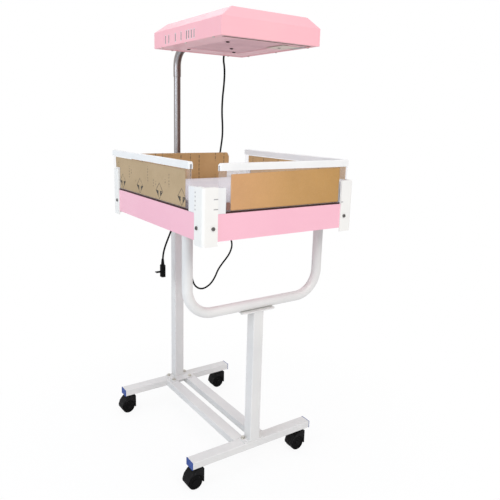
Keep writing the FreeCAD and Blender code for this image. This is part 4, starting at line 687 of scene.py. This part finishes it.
def mattress():
    low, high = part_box("mattress")
    middle = ((low[0] + high[0]) / 2, (low[1] + high[1]) / 2)
    half_x, half_y = (high[0] - low[0]) / 2, (high[1] - low[1]) / 2
    block = slab(half_x - PAD_INSET, half_y - PAD_INSET, 0.024, low[2] + 0.0005, high[2] - 0.004, middle)
    data = mesh_from(block, "mattress_pad")
    pad = bpy.data.objects.new("mattress_pad", data)
    scene.collection.objects.link(pad)
    remesh = pad.modifiers.new("remesh", "REMESH")
    remesh.mode = "VOXEL"
    remesh.voxel_size = PAD_VOXEL
    bake(pad)
    start = [vertex.co.copy() for vertex in pad.data.vertices]
    cloth = pad.modifiers.new("cloth", "CLOTH")
    cloth.settings.quality = 5
    cloth.settings.mass = 0.3
    cloth.settings.use_pressure = True
    cloth.settings.uniform_pressure_force = 4
    cloth.settings.effector_weights.gravity = 0
    cloth.point_cache.frame_start = 1
    cloth.point_cache.frame_end = PAD_FRAMES
    for number in range(1, PAD_FRAMES + 1):
        scene.frame_set(number)
    bake(pad)
    scene.frame_set(1)
    for vertex, origin in zip(pad.data.vertices, start):
        moved = vertex.co - origin
        if moved.length > PAD_SWELL:
            moved = moved.normalized() * PAD_SWELL
        place = origin + moved
        edge = min(half_x - abs(place.x - middle[0]), half_y - abs(place.y - middle[1]))
        upper = max(0.0, min(1.0, (place.z - low[2]) / (high[2] - low[2])))
        place.z += upper * PAD_WAVE * noise.noise(Vector((place.x * 9, place.y * 9, 1.7)))
        place.z -= upper * RIM_DROP * math.exp(-max(edge, 0) / RIM_WIDE)
        place.x = max(middle[0] - half_x - 0.001, min(middle[0] + half_x + 0.001, place.x))
        place.y = max(middle[1] - half_y - 0.001, min(middle[1] + half_y + 0.001, place.y))
        place.z = max(low[2], min(high[2] + 0.003, place.z))
        vertex.co = place
    smoothing = pad.modifiers.new("smooth", "SMOOTH")
    smoothing.factor = 0.5
    smoothing.iterations = 4
    division = pad.modifiers.new("division", "SUBSURF")
    division.levels = 1
    division.render_levels = 1
    bake(pad)
    for face in pad.data.polygons:
        face.use_smooth = True
    pad.data.materials.clear()
    pad.data.materials.append(mattress_cover)
    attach(pad, "stand")
    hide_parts("mattress")
    for label, height in (("upper", high[2] - 0.0055), ("lower", low[2] + 0.005)):
        outline = rounded_outline(half_x - 0.0012, half_y - 0.0012, 0.025, 10)
        loop = [Vector((x + middle[0], y + middle[1], height)) for x, y in outline]
        data = tube_mesh(f"mattress_piping_{label}", loop + loop[:1], PIPING_RADIUS, 8, False)
        link_object(f"mattress_piping_{label}", data, mattress_cover, "stand")


mattress()


# Protective papers, each a thin sheet that lies on its panel with a few low bubbles

PAPER_GRID = 0.004
PAPER_THICK = 0.0003
PAPER_LIFT = 0.0011
END_LIFT = 0.0014
END_WIDE = 0.006


def paper(name, node, material, axis, outward, body, seed, slope=0.0):
    """Replaces a flat paper by one of the same outline, its top edge lower by slope at the near end;
    axis 0 lies along X, axis 1 along Y."""
    source = nodes[node]
    low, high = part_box(node)
    base = high[1 - axis] if outward > 0 else low[1 - axis]
    inside = [face for face in source.data.polygons if face.normal[1 - axis] * outward > 0.9]
    spans = []
    for face in inside:
        corners = [source.data.vertices[index].co for index in face.vertices]
        spans.append([(corner[axis], corner[2]) for corner in corners])
    count_a = int((high[axis] - low[axis]) / PAPER_GRID) + 1
    count_z = int((high[2] - low[2]) / PAPER_GRID) + 1

    def covered(a, z):
        for corners in spans:
            within = False
            for index, (a1, z1) in enumerate(corners):
                a2, z2 = corners[index - 1]
                if (z1 > z) != (z2 > z) and a < (a2 - a1) * (z - z1) / (z2 - z1) + a1:
                    within = not within
            if within:
                return True
        return False

    def make(shape):
        grid = {}
        for i in range(count_a + 1):
            for j in range(count_z + 1):
                a = low[axis] + (high[axis] - low[axis]) * i / count_a
                z = low[2] + (high[2] - low[2] - slope * (1 - i / count_a)) * j / count_z
                wave = noise.noise(Vector((a * 14, z * 20, seed)))
                wave += 0.4 * noise.noise(Vector((a * 60, z * 45, seed)))
                up = max(0.0, wave) * PAPER_LIFT
                edge = min(i, count_a - i) * PAPER_GRID
                curl = max(0.0, noise.noise(Vector((z * 30, seed, a * 5))))
                up += END_LIFT * math.exp(-edge / END_WIDE) * curl
                point = [0, 0, z]
                point[axis] = a
                point[1 - axis] = base + outward * up
                grid[i, j] = shape.verts.new(point)
        for i in range(count_a):
            for j in range(count_z):
                a = low[axis] + (high[axis] - low[axis]) * (i + 0.5) / count_a
                z = low[2] + (high[2] - low[2]) * (j + 0.5) / count_z
                if covered(a, z):
                    shape.faces.new((grid[i, j], grid[i + 1, j], grid[i + 1, j + 1], grid[i, j + 1]))
        loose = [vertex for vertex in shape.verts if not vertex.link_faces]
        bmesh.ops.delete(shape, geom=loose, context="VERTS")

    data = mesh_from(make, name)
    thing = link_object(name, data, material, body)
    thick = thing.modifiers.new("thick", "SOLIDIFY")
    thick.thickness = PAPER_THICK
    thick.offset = 0
    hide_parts(node)


paper("front_wrap", "front_paper", kraft_front, 0, -1, "front_panel", 3.1, 0.007)
paper("back_wrap", "back_paper", kraft_back, 0, -1, "back_panel", 5.7)
paper("left_wrap", "left_paper", kraft_left, 1, -1, "left_panel", 8.3)
paper("right_wrap", "right_paper", kraft_right, 1, -1, "right_panel", 1.9)


# Small marks: painted shade of the posts' slots, seal ends that are partly painted shade of the gap under the
# panels, vent rims and screens, and the plates under the lamp, one of them painted shade of the window's gap

# Painted shade: grey plates laid on the posts where small slots are, in place of the shade inside those
# recesses.
plates("post_slot_shade", [((-237, -343.9, z - 1.4), (-223.2, -343.2, z + 1.4)) for z in (941, 914)]
       + [((-270.5, -304, z - 2.4), (-269.8, -300.4, z + 2.4)) for z in (957, 946, 934, 922, 911)],
       grey_plastic, "stand", 0.3)
plates("post_slot_shade_right", [((223.2, -343.9, 904.5), (232, -343.2, 907.5))], grey_plastic, "stand", 0.3)
# Seal ends near the posts: dark brown strips, partly rubber seal and partly painted shade of the gap under the
# panels.
plates("seal_ends_gap_shade", (
    ((-230, -339.8, 900.2), (-196, -336.6, 904.6)), ((196, -339.8, 900.2), (230, -336.6, 904.6)),
    ((-266.6, -260, 900.2), (-263.4, -226, 904.6)), ((-266.6, 206, 900.2), (-263.4, 246, 904.6)),
), seal_and_gap_shade, "stand", 0.6)
plates("film_scrap", [((-194, -338.3, 909), (-183, -337.9, 930))], brown_film_and_gap_shade, "front_panel")
# Painted shade: a dark brown sheet laid along the gap beside the light window, where there is only shade.
plates("window_gap_shade", [((-150, -241, 1367.9), (160, -229, 1368.3))], brown_film_and_gap_shade, "lamp")
VENTS = (70.6, 47.6, 3.6, -33.4, -67.4, -81.4, -97.4, -113.4)
VENT_MIDDLE = 1387
LAMP_SIDE = 172
RIM_STRIPS = ((-3.2, -2, -13, 13), (2, 3.2, -13, 13), (-2, 2, -13, -11.5), (-2, 2, 11.5, 13))
rims = []
for y in VENTS:
    for x in (-LAMP_SIDE, LAMP_SIDE):
        for low_y, high_y, low_z, high_z in RIM_STRIPS:
            rims.append(((x - 0.2, y + low_y, VENT_MIDDLE + low_z),
                         (x + 0.2, y + high_y, VENT_MIDDLE + high_z)))
plates("vent_rims", rims, white_plastic, "lamp")
plates("vent_screens", [((side * 169.6 - 0.3, -122, 1373), (side * 169.6 + 0.3, 76, 1401)) for side in (-1, 1)],
       black_rubber, "lamp")
plates("window_clip", [((78, -206, 1366.9), (142, -122, 1368.1))], beige_plastic, "lamp", 0.3)
plates("window_clip_end", [((145, -214, 1367.2), (166, -150, 1368.1))], grey_plastic, "lamp", 0.3)


def discs(name, places, radius, low, high, material, body):
    """Low round heads, each at a place in millimetres, with a chamfer on the lower rim."""
    sides, chamfer = 20, 0.5

    def make(shape):
        for x, y in places:
            rings = []
            for z, reach in ((high, radius), (low + chamfer, radius), (low, radius * 0.7)):
                angles = [math.pi * step / 10 for step in range(sides)]
                rings.append([shape.verts.new(((x + reach * math.cos(angle)) * MM,
                                               (y + reach * math.sin(angle)) * MM, z * MM))
                              for angle in angles])
            for first, second in zip(rings, rings[1:]):
                for step in range(sides):
                    after = (step + 1) % sides
                    shape.faces.new((first[step], first[after], second[after], second[step]))
            shape.faces.new(rings[0])
            shape.faces.new(rings[-1])

    link_object(name, mesh_from(make, name, False), material, body)


discs("underside_plugs", ((-80, 88), (13, -24), (70, 50), (-79, -147), (107, -150)), 5.5, 1366.4, 1368.3,
      black_rubber, "lamp")


# Floor, background and lights

def larger(tree, first, second):
    """The larger of two values in a node tree."""
    node = tree.nodes.new("ShaderNodeMath")
    node.operation = "MAXIMUM"
    tree.links.new(first, node.inputs[0])
    tree.links.new(second, node.inputs[1])
    return node.outputs[0]


def background():
    """White where it is looked at or mirrored, softer where it gives light."""
    world = bpy.data.worlds.new("studio")
    scene.world = world
    world.use_nodes = True
    tree = world.node_tree
    tree.nodes.clear()
    output = tree.nodes.new("ShaderNodeOutputWorld")
    soft = tree.nodes.new("ShaderNodeBackground")
    soft.inputs[0].default_value = (0.96, 0.97, 1.0, 1)
    soft.inputs[1].default_value = 0.6
    white = tree.nodes.new("ShaderNodeBackground")
    white.inputs[0].default_value = (1, 1, 1, 1)
    rays = tree.nodes.new("ShaderNodeLightPath").outputs
    seen = larger(tree, rays["Is Camera Ray"], rays["Is Transmission Ray"])
    mix = tree.nodes.new("ShaderNodeMixShader")
    tree.links.new(larger(tree, seen, rays["Is Glossy Ray"]), mix.inputs[0])
    tree.links.new(soft.outputs[0], mix.inputs[1])
    tree.links.new(white.outputs[0], mix.inputs[2])
    tree.links.new(mix.outputs[0], output.inputs[0])


def floor():
    """A floor that shows the unit's shadow near it and fades to white further out."""
    material = bpy.data.materials.new("floor")
    material.use_nodes = True
    tree = material.node_tree
    tree.nodes.clear()
    output = tree.nodes.new("ShaderNodeOutputMaterial")
    matte = tree.nodes.new("ShaderNodeBsdfDiffuse")
    matte.inputs[0].default_value = (0.9, 0.9, 0.9, 1)
    glow = tree.nodes.new("ShaderNodeEmission")
    glow.inputs[0].default_value = (1, 1, 1, 1)
    rays = tree.nodes.new("ShaderNodeLightPath").outputs
    seen = larger(tree, rays["Is Camera Ray"], rays["Is Transmission Ray"])
    place = tree.nodes.new("ShaderNodeTexCoord")
    away = tree.nodes.new("ShaderNodeVectorMath")
    away.operation = "LENGTH"
    tree.links.new(place.outputs["Object"], away.inputs[0])
    fade = tree.nodes.new("ShaderNodeMapRange")
    fade.inputs["From Min"].default_value = 0.35
    fade.inputs["From Max"].default_value = 0.95
    fade.inputs["To Min"].default_value = 0.9
    tree.links.new(away.outputs["Value"], fade.inputs["Value"])
    share = tree.nodes.new("ShaderNodeMath")
    share.operation = "MULTIPLY"
    tree.links.new(seen, share.inputs[0])
    tree.links.new(fade.outputs[0], share.inputs[1])
    mix = tree.nodes.new("ShaderNodeMixShader")
    tree.links.new(share.outputs[0], mix.inputs[0])
    tree.links.new(matte.outputs[0], mix.inputs[1])
    tree.links.new(glow.outputs[0], mix.inputs[2])
    tree.links.new(mix.outputs[0], output.inputs[0])

    def make(shape):
        bmesh.ops.create_circle(shape, cap_ends=True, segments=96, radius=6)

    data = mesh_from(make, "floor", smooth=False)
    data.materials.append(material)
    plane = bpy.data.objects.new("floor", data)
    scene.collection.objects.link(plane)
    plane.location.z = -0.0005


LIGHT_TARGET = (0, 0, 0.7)


def area_light(name, at, size, power, color=(1, 1, 1)):
    """A rectangular light that faces the middle of the unit."""
    data = bpy.data.lights.new(name, "AREA")
    data.shape = "RECTANGLE"
    data.size, data.size_y = size
    data.energy = power
    data.color = color
    light = bpy.data.objects.new(name, data)
    scene.collection.objects.link(light)
    light.location = at
    light.rotation_euler = (Vector(LIGHT_TARGET) - Vector(at)).to_track_quat("-Z", "Y").to_euler()


background()
floor()
area_light("key", (-0.1, -3.0, 2.9), (1.8, 1.8), 55, (1.0, 0.985, 0.965))
area_light("fill", (-3.0, -0.5, 2.3), (1.6, 2.2), 44, (0.8, 0.92, 1.04))
area_light("top", (0.6, 1.2, 3.2), (2.0, 2.0), 14)

scene.view_settings.view_transform = "Standard"
